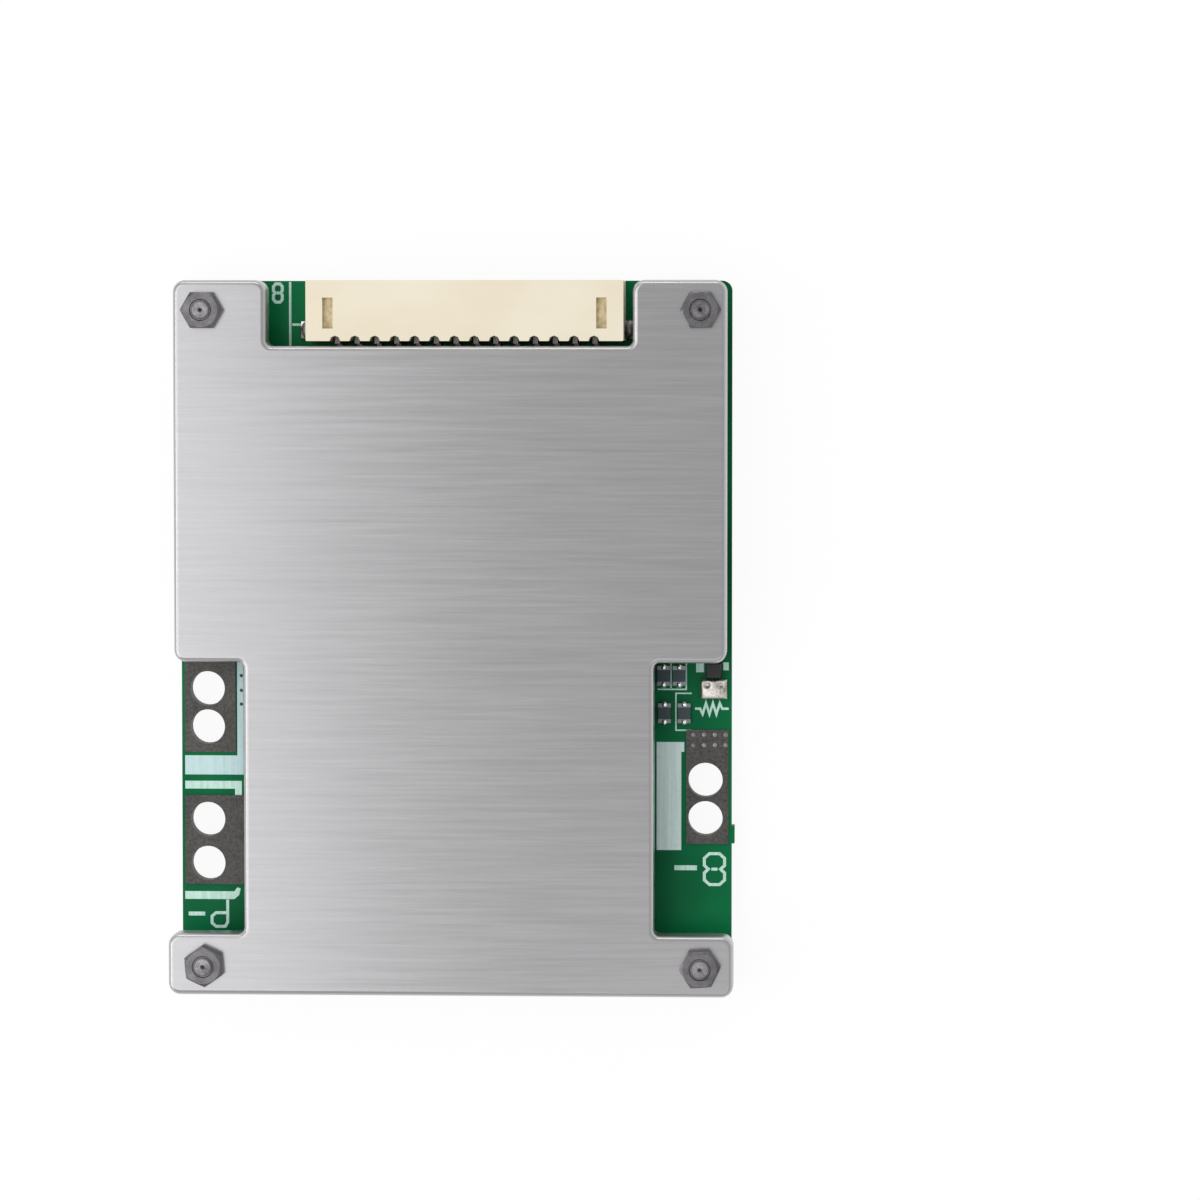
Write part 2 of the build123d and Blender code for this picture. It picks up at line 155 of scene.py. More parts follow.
class Finish(Graph):
    """A procedural material: steady values on the shader's own sockets, the rest by nodes."""

    def __init__(self, name, steady):
        self.material = bpy.data.materials.new(name)
        self.material.use_nodes = True
        super().__init__(self.material.node_tree)
        self.shader = self.tree.nodes["Principled BSDF"]
        self.place = self.node("ShaderNodeTexCoord", output="Object")
        self.put(steady)

    def put(self, values):
        """Sets or links sockets of the shader."""
        for label, value in values.items():
            socket = find_socket(self.shader.inputs, label)
            if isinstance(value, Wire):
                self.tree.links.new(value.socket, socket)
            else:
                socket.default_value = value

    def axis(self, letter):
        return self.node("ShaderNodeSeparateXYZ", None, {"Vector": self.place}, letter)

    def facing(self, letter):
        """How far the surface faces along one axis, from 0 to 1."""
        normal = self.node("ShaderNodeTexCoord", output="Normal")
        return abs(self.node("ShaderNodeSeparateXYZ", None, {"Vector": normal}, letter))

    def noise(self, sizes, detail=3.0, roughness=0.55):
        """Noise whose grain has one size, or sizes along X, Y and Z, in metres."""
        if isinstance(sizes, float):
            sizes = (sizes, sizes, sizes)
        scales = tuple(1 / size for size in sizes)
        stretched = self.node(
            "ShaderNodeVectorMath", {"operation": "MULTIPLY"}, {0: self.place, 1: scales}
        )
        values = {"Vector": stretched, "Scale": 1.0, "Detail": detail, "Roughness": roughness}
        return self.node("ShaderNodeTexNoise", None, values)

    def between(self, value, low, high):
        """0 below low, 1 above high and a straight slope between them."""
        limits = {"Value": value, "From Min": low, "From Max": high}
        return self.node("ShaderNodeMapRange", {"clamp": True}, limits)

    def mix(self, factor, first, second):
        colors = {"Factor": factor, "A": first, "B": second}
        return self.node("ShaderNodeMix", {"data_type": "RGBA"}, colors, "Result")

    def bump(self, height, distance, strength=1.0):
        values = {"Height": height, "Distance": distance, "Strength": strength}
        return self.node("ShaderNodeBump", None, values)


class Pattern(Graph):
    """A Geometry Nodes tree with named inputs, which sets copies of one piece on points."""

    def __init__(self, name, inputs):
        super().__init__(bpy.data.node_groups.new(name, "GeometryNodeTree"))
        face = self.tree.interface
        face.new_socket("Places", in_out="INPUT", socket_type="NodeSocketGeometry")
        for label in inputs:
            kind = "NodeSocketInt" if label.endswith("Count") else "NodeSocketFloat"
            face.new_socket(label, in_out="INPUT", socket_type=kind)
        face.new_socket("Finish", in_out="INPUT", socket_type="NodeSocketMaterial")
        face.new_socket("Piece", in_out="OUTPUT", socket_type="NodeSocketGeometry")
        self.entry = self.tree.nodes.new("NodeGroupInput")

    def input(self, label):
        return Wire(self, find_socket(self.entry.outputs, label))

    def inputs(self, *labels):
        return [self.input(label) for label in labels]

    def attribute(self, label):
        return self.node("GeometryNodeInputNamedAttribute", None, {"Name": label})

    def cylinder(self, radius, depth, corners=48):
        sizes = {"Vertices": corners, "Radius": radius, "Depth": depth}
        return self.node("GeometryNodeMeshCylinder", None, sizes)

    def cone(self, top_radius, bottom_radius, depth, corners=48):
        sizes = {
            "Vertices": corners,
            "Radius Top": top_radius,
            "Radius Bottom": bottom_radius,
            "Depth": depth,
        }
        return self.node("GeometryNodeMeshCone", None, sizes)

    def moved(self, piece, x=0.0, y=0.0, z=0.0):
        values = {"Geometry": piece, "Translation": self.vector(x, y, z)}
        return self.node("GeometryNodeTransform", None, values)

    def scaled(self, piece, x, y, z):
        values = {"Geometry": piece, "Scale": self.vector(x, y, z)}
        return self.node("GeometryNodeTransform", None, values)

    def cut(self, piece, *cutters):
        values = {0: piece, 1: list(cutters)}
        return self.node("GeometryNodeMeshBoolean", {"operation": "DIFFERENCE"}, values)

    def combine(self, operation, *pieces):
        values = {1: list(pieces)}
        return self.node("GeometryNodeMeshBoolean", {"operation": operation}, values)

    def joined(self, *pieces):
        return self.node("GeometryNodeJoinGeometry", None, {"Geometry": list(pieces)})

    def smooth(self, piece):
        return self.node("GeometryNodeSetShadeSmooth", None, {"Geometry": piece})

    def on_places(self, piece):
        """Copies of the piece on each place, turned and stretched by the place's attributes."""
        turn = self.vector(0.0, 0.0, self.attribute("turn"))
        stretch = self.vector(
            self.attribute("stretch_x"), self.attribute("stretch_y"), self.attribute("stretch_z")
        )
        values = {
            "Points": self.input("Places"),
            "Instance": piece,
            "Rotation": turn,
            "Scale": stretch,
        }
        return self.node("GeometryNodeInstanceOnPoints", None, values)

    def finish(self, piece):
        """Ends the tree with real geometry in the given finish."""
        real = self.node("GeometryNodeRealizeInstances", None, {"Geometry": piece})
        values = {"Geometry": real, "Material": self.input("Finish")}
        dressed = self.node("GeometryNodeSetMaterial", None, values)
        end = self.tree.nodes.new("NodeGroupOutput")
        self.tree.links.new(dressed.socket, end.inputs[0])

    def identifier(self, label):
        for item in self.tree.interface.items_tree:
            if item.name == label and item.in_out == "INPUT":
                return item.identifier
        raise KeyError(f"no input named {label!r}")


# Pieces


def add_piece(name, mesh, slot, *replaced):
    """Links a finished mesh as a piece of the board and hides the nodes it replaces; the slot argument
    is not used.
    """
    piece = bpy.data.objects.new(name, mesh)
    bpy.context.scene.collection.objects.link(piece)
    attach(piece, "root")
    if replaced:
        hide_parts(*replaced)


def grow(name, pattern, seeds, sizes, finish):
    """The plain mesh that a pattern makes on a mesh of seeds."""
    carrier = bpy.data.objects.new(name, seeds)
    bpy.context.scene.collection.objects.link(carrier)
    modifier = carrier.modifiers.new("pattern", "NODES")
    modifier.node_group = pattern.tree
    for label, value in sizes.items():
        modifier[pattern.identifier(label)] = value
    modifier[pattern.identifier("Finish")] = finish
    evaluated = carrier.evaluated_get(bpy.context.evaluated_depsgraph_get())
    mesh = bpy.data.meshes.new_from_object(evaluated)
    carrier.modifiers.remove(modifier)
    bpy.data.objects.remove(carrier)
    bpy.data.meshes.remove(seeds)
    if not mesh.polygons:
        raise RuntimeError(f"{name} came out empty")
    mesh.name = name
    return mesh


def add_grown(name, pattern, seeds, sizes, finish, slot, *replaced):
    """Adds the piece that a pattern makes on a mesh of seeds."""
    mesh = grow(name, pattern, seeds, sizes, finish.material)
    add_piece(name, mesh, slot, *replaced)


def seed_points(places, turns=None, stretches=None):
    """A mesh of loose points, each with a turn about Z and a stretch along each axis."""
    seeds = bpy.data.meshes.new("places")
    seeds.from_pydata(places, [], [])
    turns = turns or [0.0] * len(places)
    stretches = stretches or [(1.0, 1.0, 1.0)] * len(places)
    columns = {"turn": turns}
    for index, letter in enumerate("xyz"):
        columns[f"stretch_{letter}"] = [stretch[index] for stretch in stretches]
    for label, values in columns.items():
        seeds.attributes.new(label, "FLOAT", "POINT").data.foreach_set("value", values)
    return seeds


def seed_paths(paths):
    """A mesh of loose edges that run along each path."""
    points = []
    edges = []
    for path in paths:
        edges += [(len(points) + i, len(points) + i + 1) for i in range(len(path) - 1)]
        points += path
    seeds = bpy.data.meshes.new("paths")
    seeds.from_pydata(points, edges, [])
    return seeds


def wear(name, finish):
    """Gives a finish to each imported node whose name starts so."""
    found = [node for label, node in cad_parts.items() if label.startswith(name)]
    if not found:
        raise RuntimeError(f"no packed node starts with {name}")
    for node in found:
        for slot in node.material_slots:
            slot.material = finish.material


def finished_mesh(name, shape, material):
    """A mesh from a shape whose faces are turned outwards."""
    bmesh.ops.recalc_face_normals(shape, faces=shape.faces)
    mesh = bpy.data.meshes.new(name)
    shape.to_mesh(mesh)
    shape.free()
    mesh.materials.append(material)
    return mesh


def slab(name, polygons, low, high, material):
    """Polygons in millimetres made into thin solids; those that share corners become one."""
    shape = bmesh.new()
    for polygon in polygons:
        shape.faces.new([shape.verts.new((x * MM, y * MM, low)) for x, y in polygon])
    bmesh.ops.remove_doubles(shape, verts=shape.verts, dist=0.001 * MM)
    lifted = bmesh.ops.extrude_face_region(shape, geom=shape.faces[:])["geom"]
    tops = [item for item in lifted if isinstance(item, bmesh.types.BMVert)]
    bmesh.ops.translate(shape, verts=tops, vec=(0, 0, high - low))
    return finished_mesh(name, shape, material)


def bar(x_range, y_range):
    """The corners of an upright rectangle."""
    (left, right), (bottom, top) = x_range, y_range
    return [(left, bottom), (right, bottom), (right, top), (left, top)]


def moved_left(path, distance, closed):
    """The path moved to its left by a distance, with mitred corners."""
    moved = []
    for i, point in enumerate(path):
        ahead = (path[(i + 1) % len(path)] - point).normalized()
        behind = (point - path[i - 1]).normalized()
        if not closed and i == 0:
            behind = ahead
        if not closed and i == len(path) - 1:
            ahead = behind
        across = (ahead + behind).orthogonal().normalized()
        moved.append(point + across * distance / max(0.3, across.dot(ahead.orthogonal())))
    return moved


def stroke(points, width):
    """The polygons of a stroke along a path, one for each run; a path may end where it starts."""
    path = [Vector(point) for point in points]
    closed = (path[0] - path[-1]).length < width / 100
    if closed:
        path.pop()
    left = moved_left(path, width / 2, closed)
    right = moved_left(path, -width / 2, closed)
    first = -1 if closed else 0
    return [
        (left[i], right[i], right[i + 1], left[i + 1]) for i in range(first, len(path) - 1)
    ]


# Finishes


def brushed_aluminium():
    """Sheet brushed along X: long fine streaks over broad faint bands, with rims and walls painted
    paler as a painted highlight and made rougher.
    """
    settings = bpy.context.scene.board_plate
    finish = Finish("plate_aluminium", {"Metallic": 1.0})
    fine = finish.noise((7 * MM, 0.14 * MM, 0.14 * MM), detail=4.0)
    coarse = finish.noise((16 * MM, 0.55 * MM, 0.55 * MM), detail=3.0)
    cloud = finish.noise((24 * MM, 9 * MM, 9 * MM), detail=2.0)
    streak = fine * 0.5 + coarse * 0.5
    tone = finish.between(streak * 0.85 + cloud * 0.15, 0.34, 0.66)
    rim = finish.between(1 - finish.facing("Z"), 0.04, 0.4)
    face = finish.mix(tone, settings.dark_streak, settings.light_streak)
    finish.put({
        # The rim colour is a painted highlight on the rounded rim and the walls
        "Base Color": finish.mix(rim, face, settings.rim),
        "Roughness": settings.roughness - 0.05 + streak * 0.1 + rim * 0.16,
        "Normal": finish.bump(streak, settings.groove_depth, 0.6),
    })
    return finish


def solder_mask():
    """Green mask over glass laminate, whose layers show at the routed edges."""
    settings = bpy.context.scene.board_mask
    finish = Finish("board_green", {"Specular IOR Level": 0.06})
    pour = finish.noise(12 * MM, detail=2.0)
    weave = finish.noise(0.45 * MM, detail=2.0)
    layers = finish.noise((3 * MM, 3 * MM, 0.12 * MM), detail=2.0)
    faces = finish.facing("Z") > 0.5
    mask = finish.mix(finish.between(pour, 0.35, 0.65), settings.deep, settings.bright)
    edge = finish.mix(finish.between(layers, 0.38, 0.62), settings.laminate, settings.laminate_fibre)
    finish.put({
        "Base Color": finish.mix(faces, edge, mask),
        "Roughness": 0.62 - faces * 0.3 + weave * 0.06,
        "Normal": finish.bump(weave, 0.01 * MM, 0.4),
    })
    return finish


def ivory_nylon():
    """Moulded nylon with a satin skin, a faint flow of tone and painted shade, mottled, on the floors
    of the hollows under its roof.
    """
    settings = bpy.context.scene.board_header
    finish = Finish("header_ivory", {"Specular IOR Level": 0.35})
    flow = finish.noise((9 * MM, 5 * MM, 5 * MM), detail=2.0)
    skin = finish.noise(0.12 * MM, detail=2.0)
    mottle = finish.noise((0.5 * MM, 0.7 * MM, 0.7 * MM), detail=2.0)
    outside = finish.mix(finish.between(flow, 0.3, 0.7), settings.warm, settings.pale)
    inside = finish.mix(finish.between(mottle, 0.35, 0.65), settings.shaded_hollow_dark, settings.shaded_hollow_light)
    under_roof = finish.axis("Z") < HEADER_HIGH.z - 0.2 * MM
    # Painted shade: upward floors under the roof get the darker, mottled hollow colours
    hollow = under_roof * (finish.facing("Z") > 0.5)
    finish.put({
        "Base Color": finish.mix(hollow, outside, inside),
        "Roughness": 0.4 + skin * 0.12,
        "Normal": finish.bump(skin, 0.012 * MM, 0.5),
    })
    return finish


def dull_tin():
    """Levelled tin on the wire lands: dark, grainy and only half bright."""
    settings = bpy.context.scene.board_solder
    finish = Finish("land_solder", {"Metallic": 1.0})
    grain = finish.noise(0.28 * MM, detail=4.0, roughness=0.65)
    patch = finish.noise(3.5 * MM, detail=2.0)
    tone = finish.between(grain * 0.75 + patch * 0.25, 0.35, 0.68)
    finish.put({
        "Base Color": finish.mix(tone, settings.tin_dark, settings.tin_light),
        "Roughness": 0.42 + grain * 0.2,
        "Normal": finish.bump(grain, 0.03 * MM, 0.6),
    })
    return finish


def bright_solder():
    """Reflowed solder: bright and smooth, with faint frosting."""
    finish = Finish("bright_solder", {"Metallic": 1.0})
    frost = finish.noise(0.35 * MM, detail=3.0)
    tone = finish.between(frost, 0.3, 0.7)
    finish.put({
        "Base Color": finish.mix(tone, (0.62, 0.61, 0.58, 1), (0.9, 0.89, 0.87, 1)),
        "Roughness": 0.16 + frost * 0.2,
        "Normal": finish.bump(frost, 0.02 * MM, 0.4),
    })
    return finish


def satin_solder(name, dark, light):
    """Solder that set slowly: grainy and only half bright."""
    finish = Finish(name, {"Metallic": 1.0})
    grain = finish.noise(0.2 * MM, detail=4.0)
    patch = finish.noise(1.1 * MM, detail=2.0)
    tone = finish.between(grain * 0.5 + patch * 0.5, 0.35, 0.65)
    finish.put({
        "Base Color": finish.mix(tone, dark, light),
        "Roughness": 0.32 + grain * 0.2,
        "Normal": finish.bump(grain, 0.03 * MM, 0.6),
    })
    return finish


def pin_tin():
    """Tinned pins: bright in the mouth of the header and darkened behind it as painted shade."""
    finish = Finish("pin_tin", {"Metallic": 1.0})
    grain = finish.noise((0.2 * MM, 0.6 * MM, 0.2 * MM), detail=3.0)
    bright = finish.mix(grain, (0.5, 0.49, 0.46, 1), (0.76, 0.75, 0.72, 1))
    dull = finish.mix(grain, (0.08, 0.077, 0.072, 1), (0.2, 0.19, 0.18, 1))
    # Painted shade: pins behind the header, in the dark comb row, get near-black tin
    behind = finish.axis("Y") < HEADER_LOW.y + 1.4 * MM
    finish.put({
        "Base Color": finish.mix(behind, bright, dull),
        "Roughness": 0.26 + grain * 0.14,
        "Normal": finish.bump(grain, 0.012 * MM, 0.4),
    })
    return finish


def plated_metal(name, dark, light, roughness):
    """Plated small hardware with a turned grain and darker tarnish."""
    finish = Finish(name, {"Metallic": 1.0})
    grain = finish.noise((0.22 * MM, 0.22 * MM, 0.05 * MM), detail=3.0)
    stain = finish.noise(1.4 * MM, detail=2.0)
    tone = finish.between(grain * 0.4 + stain * 0.6, 0.35, 0.65)
    finish.put({
        "Base Color": finish.mix(tone, dark, light),
        "Roughness": roughness + grain * 0.14,
        "Normal": finish.bump(grain, 0.012 * MM, 0.4),
    })
    return finish


def soft_silicone():
    """Filled silicone sheet: matt, with a fine grain."""
    finish = Finish("pad_silicone", {"Metallic": 0.0})
    grain = finish.noise(0.3 * MM, detail=4.0)
    finish.put({
        "Base Color": finish.mix(grain, (0.24, 0.27, 0.31, 1), (0.38, 0.42, 0.47, 1)),
        "Roughness": 0.72 + grain * 0.2,
        "Normal": finish.bump(grain, 0.03 * MM, 0.5),
    })
    return finish


def printed_ink(name, thin, full):
    """Screen-printed ink, thin enough for the mask to tint it, with the screen's faint stripes."""
    finish = Finish(name, {"Specular IOR Level": 0.25})
    cover = finish.noise(0.3 * MM, detail=3.0)
    stripes = finish.noise((0.25 * MM, 9 * MM, 9 * MM), detail=2.0)
    tone = finish.between(cover * 0.35 + stripes * 0.65, 0.36, 0.62)
    finish.put({
        "Base Color": finish.mix(tone, thin, full),
        "Roughness": 0.5 + cover * 0.2,
        "Normal": finish.bump(cover, 0.01 * MM, 0.5),
    })
    return finish


def leaded_epoxy(name, body_color, metal, metal_color):
    """A moulded or fired body whose leads, tabs or caps lie where the metal mask is 1."""
    finish = Finish(name, {"Specular IOR Level": 0.3})
    skin = finish.noise(0.1 * MM, detail=3.0)
    bright = metal(finish)
    body = finish.mix(skin, tuple(c * 0.7 for c in body_color), body_color)
    plate = finish.mix(skin, tuple(c * 0.7 for c in metal_color), metal_color)
    finish.put({
        "Base Color": finish.mix(bright, body, plate),
        "Metallic": bright,
        "Roughness": 0.5 + skin * 0.2 - bright * 0.2,
        "Normal": finish.bump(skin, 0.01 * MM, 0.5),
    })
    return finish


def outside(letter, low, high):
    """A mask that is 1 beyond two limits along one axis."""

    def metal(finish):
        place = finish.axis(letter)
        return finish.largest(place < low, place > high)

    return metal


def beside_columns(first, pitch, half_body):
    """A mask that is 1 between the bodies of a row of packages at an even pitch."""

    def metal(finish):
        from_first = finish.axis("X") - first + pitch / 2
        in_column = finish.math("WRAP", from_first, pitch, 0.0) - pitch / 2
        return abs(in_column) > half_body

    return metal


# Settings


def color(name, description, rgb):
    return FloatVectorProperty(
        name=name, description=description, subtype="COLOR", size=4, default=(*rgb, 1)
    )


def metres(name, description, value):
    return FloatProperty(
        name=name, description=description, unit="LENGTH", precision=6, default=value
    )


def fraction(name, description, value):
    return FloatProperty(
        name=name, description=description, subtype="FACTOR", min=0, max=1, default=value
    )


def watts(name, description, value):
    return FloatProperty(name=name, description=description, unit="POWER", default=value)


class PlateSettings(bpy.types.PropertyGroup):
    """The brushed heat plate."""

    light_streak: color(
        "Light streak", "Aluminium on the ridges of the brushing", (0.308, 0.303, 0.309),
    )
    dark_streak: color("Dark streak", "Aluminium in the grooves of the brushing", (0.266, 0.263, 0.268))
    # Rim is a painted highlight: paler aluminium on the rounded rim and the walls
    rim: color("Rim", "Aluminium of the rounded rim and the milled walls", (0.52, 0.515, 0.52))
    roughness: fraction("Roughness", "Spread of the reflections on the brushed face", 0.21)
    groove_depth: metres("Groove depth", "Depth of the brushing", 0.0045 * MM)
    edge_radius: metres("Edge radius", "Rounding of the plate's upper edge", 0.5 * MM)
    edge_steps: IntProperty(
        name="Edge steps", description="Facets across the rounded edge",
        default=7, min=2, max=24,
    )


class MaskSettings(bpy.types.PropertyGroup):
    """The green solder mask and the laminate under it."""

    bright: color("Bright mask", "Mask where it is thin over copper", (0.002, 0.14, 0.047))
    deep: color("Deep mask", "Mask where it is thick over laminate", (0.001, 0.082, 0.03))
    laminate: color("Laminate", "Resin at the board's routed edges", (0.17, 0.25, 0.11))
    laminate_fibre: color("Laminate fibre", "Glass at the board's routed edges", (0.23, 0.31, 0.155))


class HeaderSettings(bpy.types.PropertyGroup):
    """The moulded balance header and its joints."""

    pale: color("Pale nylon", "Nylon where its tone is palest", (0.71, 0.65, 0.525))
    warm: color("Warm nylon", "Nylon where its tone is warmest", (0.67, 0.60, 0.46))
    # The two hollow colours are painted shade on the recess floors under the roof
    shaded_hollow_light: color(
        "Light hollow", "Nylon in the roof's recesses where it is lightest", (0.62, 0.515, 0.32),
    )
    shaded_hollow_dark: color(
        "Dark hollow", "Nylon in the roof's recesses where dust and shade gather", (0.42, 0.335, 0.185),
    )
    joint_width: metres("Joint width", "Width of the solder round each pin's foot", 1.1 * MM)
    joint_height: metres("Joint height", "Height of the solder over each pin's foot", 0.5 * MM)


class SolderSettings(bpy.types.PropertyGroup):
    """Tin on the lands and solder on the chips."""

    tin_dark: color("Dark tin", "Hollows in the grain of the tinned lands", (0.040, 0.0385, 0.036))
    tin_light: color("Light tin", "Tops of the grain of the tinned lands", (0.094, 0.091, 0.086))
    via_diameter: metres("Via diameter", "Outer diameter of a filled via on a land", 0.5 * MM)
    bead_width: metres("Bead width", "Width of a solder bead on a rear bus", 1.25 * MM)
    bead_height: metres("Bead height", "Height of a solder bead above the bus", 0.45 * MM)


class LegendSettings(bpy.types.PropertyGroup):
    """The printed legend."""

    full_ink: color("Full ink", "Ink where it covers fully", (0.51, 0.66, 0.68))
    thin_ink: color("Thin ink", "Ink where the mask shows through", (0.42, 0.59, 0.57))
    full_line: color(
        "Full line", "Ink of the bars, marks and outlines, where it covers fully", (0.54, 0.74, 0.66),
    )
    thin_line: color(
        "Thin line", "Ink of the bars, marks and outlines, where it is thin", (0.38, 0.6, 0.51),
    )
    full_panel: color(
        "Full panel", "Greyer ink of the wide block, where it covers fully", (0.60, 0.73, 0.71),
    )
    thin_panel: color(
        "Thin panel", "Greyer ink of the wide block, where it is thin", (0.50, 0.63, 0.60),
    )
    thickness: metres("Thickness", "Height of the ink above the mask", 0.02 * MM)
    line_width: FloatProperty(
        name="Line width", description="Width of the strokes of marks and numbers, in millimetres",
        default=0.3,
    )


class FastenerSettings(bpy.types.PropertyGroup):
    """The corner nuts and screws."""

    across_flats: metres("Across flats", "Width of a nut between opposite flats", 3.6 * MM)
    thread_diameter: metres("Thread diameter", "Outer diameter of the screw's thread", 2.0 * MM)
    thread_pitch: metres("Thread pitch", "Rise of the thread in one turn", 0.4 * MM)
    head_diameter: metres("Head diameter", "Diameter of the screw's head", 3.8 * MM)


class StageSettings(bpy.types.PropertyGroup):
    """The floor, light and camera."""

    floor_size: metres("Floor size", "Side of the square floor", 6.0)
    floor_glow: fraction("Floor glow", "Share of plain white in the floor as the camera sees it", 0.93)
    room_light: FloatProperty(
        name="Room light", description="Strength of the even light from all round",
        default=0.72,
    )
    key_power: watts("Key power", "Power of the softbox above the left of the board", 0.95)
    foot_power: watts("Foot power", "Power of the small softbox above the board's foot", 0.1)
    head_power: watts("Head power", "Power of the strip low beyond the header", 0.7)
    side_power: watts("Side power", "Power of the strip low on the left of the board", 0.9)


# Builders of the finished pieces


def screw_centres():
    """The middle of each corner screw, from the left foot to the right header corner."""
    half_head = bpy.context.scene.board_fasteners.head_diameter / 2
    left, right = SCREW_LOW.x + half_head, SCREW_HIGH.x - half_head
    foot, top = SCREW_LOW.y + half_head, SCREW_HIGH.y - half_head
    return [(x, y) for x in (left, right) for y in (foot, top)]


def nut_pattern():
    """Hexagon nut: blank, cone over its upper corners, bore and countersink."""
    sizes = ("Across Flats", "Height", "Bore", "Countersink")
    pattern = Pattern("hex_nut", sizes)
    across, height, bore, countersink = pattern.inputs(*sizes)
    blank = pattern.cylinder(across / math.sqrt(3), height, corners=6)
    # The cone passes both faces of the blank by an eighth of the height
    face_share, over = 0.48, 0.125
    top_radius = across * face_share
    slope = math.tan(math.radians(60))
    tip, foot = top_radius - height * slope * over, top_radius + height * slope * (1 + over)
    turned = pattern.cone(tip, foot, height * (1 + 2 * over), corners=64)
    turned = pattern.moved(turned, z=height * (-0.5 - over))
    body = pattern.combine("INTERSECT", blank, turned)
    hole = pattern.cylinder(bore / 2, height * 2)
    sink = pattern.cone(bore / 2 + countersink * 2, bore / 2, countersink * 2)
    sink = pattern.moved(sink, z=height / 2 - countersink)
    nut = pattern.cut(body, hole, sink)
    pattern.finish(pattern.on_places(nut))
    return pattern


def screw_pattern():
    """Pan-head screw, head down: recess, shank, helical thread and dimpled end."""
    sizes = ("Head Diameter", "Head Height", "Head Chamfer", "Recess Length", "Recess Width",
             "Recess Depth", "Thread Diameter", "Thread Pitch", "Thread Depth", "Length", "Dimple")
    pattern = Pattern("pan_head_screw", sizes)
    head_diameter, head_height, chamfer, recess_length, recess_width, recess_depth = pattern.inputs(
        *sizes[:6]
    )
    diameter, pitch, depth, length, dimple = pattern.inputs(*sizes[6:])
    rim_height = head_height - chamfer
    rim = pattern.moved(pattern.cylinder(head_diameter / 2, rim_height), z=chamfer)
    rim = pattern.moved(rim, z=rim_height / 2)
    crown = pattern.cone(head_diameter / 2, head_diameter / 2 - chamfer, chamfer)
    core_radius = diameter / 2 - depth
    shank_length = length - head_height - depth
    shank = pattern.moved(pattern.cylinder(core_radius, shank_length), z=shank_length / 2)
    shank = pattern.moved(shank, z=head_height)
    point = pattern.cone(core_radius - depth, core_radius, depth)
    point = pattern.moved(point, z=length - depth)
    blank = pattern.combine("UNION", rim, crown, shank, point)
    cube = {"Size": pattern.vector(recess_length, recess_width, recess_depth * 2)}
    across = pattern.node("GeometryNodeMeshCube", None, cube)
    cube = {"Size": pattern.vector(recess_width, recess_length, recess_depth * 2)}
    along = pattern.node("GeometryNodeMeshCube", None, cube)
    hollow = pattern.cone(dimple / 2, 0.0, dimple / 2, corners=24)
    hollow = pattern.moved(hollow, z=length - dimple * 0.4)
    body = pattern.cut(blank, across, along, hollow)
    helix = {
        "Resolution": 24,
        "Rotations": (length - head_height) / pitch - 1.0,
        "Start Radius": core_radius,
        "End Radius": core_radius,
        "Height": length - head_height - pitch,
    }
    path = pattern.node("GeometryNodeCurveSpiral", None, helix)
    circle = {"Resolution": 4, "Radius": depth}
    profile = pattern.node("GeometryNodeCurvePrimitiveCircle", None, circle)
    values = {"Curve": path, "Profile Curve": profile, "Fill Caps": True}
    ridge = pattern.moved(pattern.node("GeometryNodeCurveToMesh", None, values), z=head_height)
    pattern.finish(pattern.on_places(pattern.joined(body, ridge)))
    return pattern


def dome_pattern():
    """Rounded solder joint, half of it above its place."""
    pattern = Pattern("solder_joint", ("Width", "Height"))
    width, height = pattern.inputs("Width", "Height")
    ball = pattern.node("GeometryNodeMeshUVSphere", None, {"Segments": 20, "Rings": 12, "Radius": 0.5})
    dome = pattern.smooth(pattern.scaled(ball, width, width, height * 2))
    pattern.finish(pattern.on_places(dome))
    return pattern


def ring_pattern():
    """Annular ring of a via, flattened on the board."""
    pattern = Pattern("via_ring", ("Diameter", "Hole", "Height"))
    diameter, hole, height = pattern.inputs("Diameter", "Hole", "Height")
    path = {"Resolution": 16, "Radius": (diameter + hole) / 4}
    rim = {"Resolution": 8, "Radius": (diameter - hole) / 4}
    values = {
        "Curve": pattern.node("GeometryNodeCurvePrimitiveCircle", None, path),
        "Profile Curve": pattern.node("GeometryNodeCurvePrimitiveCircle", None, rim),
    }
    ring = pattern.node("GeometryNodeCurveToMesh", None, values)
    flat = pattern.smooth(pattern.scaled(ring, 1.0, 1.0, height * 4 / (diameter - hole)))
    pattern.finish(pattern.on_places(flat))
    return pattern


def bead_pattern():
    """Solder beads that follow paths, with an uneven width from flow."""
    pattern = Pattern("solder_bead", ("Width", "Height", "Level", "Sample Count"))
    width, height, level, count = pattern.inputs("Width", "Height", "Level", "Sample Count")
    curve = pattern.node("GeometryNodeMeshToCurve", None, {"Mesh": pattern.input("Places")})
    values = {"Curve": curve, "Count": count}
    curve = pattern.node("GeometryNodeResampleCurve", None, values)
    place = pattern.node("GeometryNodeInputPosition")
    flow = pattern.node("ShaderNodeTexNoise", None, {"Vector": place, "Scale": 420.0, "Detail": 2.0})
    circle = {"Resolution": 14, "Radius": width / 2}
    profile = pattern.node("GeometryNodeCurvePrimitiveCircle", None, circle)
    values = {
        "Curve": curve,
        "Profile Curve": profile,
        "Scale": flow * 0.9 + 0.55,
        "Fill Caps": True,
    }
    bead = pattern.node("GeometryNodeCurveToMesh", None, values)
    flat = pattern.scaled(bead, 1.0, 1.0, height * 2 / width)
    pattern.finish(pattern.smooth(pattern.moved(flat, z=level)))
    return pattern


def chip_names():
    """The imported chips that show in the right-hand notch."""
    return sorted(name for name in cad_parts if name.startswith("notch_chip"))


def numeral(strokes, x_range, y_range):
    """A numeral in its place on the board, turned half round as the board's marks are."""
    (left, right), (bottom, top) = x_range, y_range
    width = bpy.context.scene.board_legend.line_width
    polygons = []
    for path in strokes:
        points = [(right - u * (right - left), bottom + v * (top - bottom)) for u, v in path]
        polygons += stroke(points, width)
    return polygons


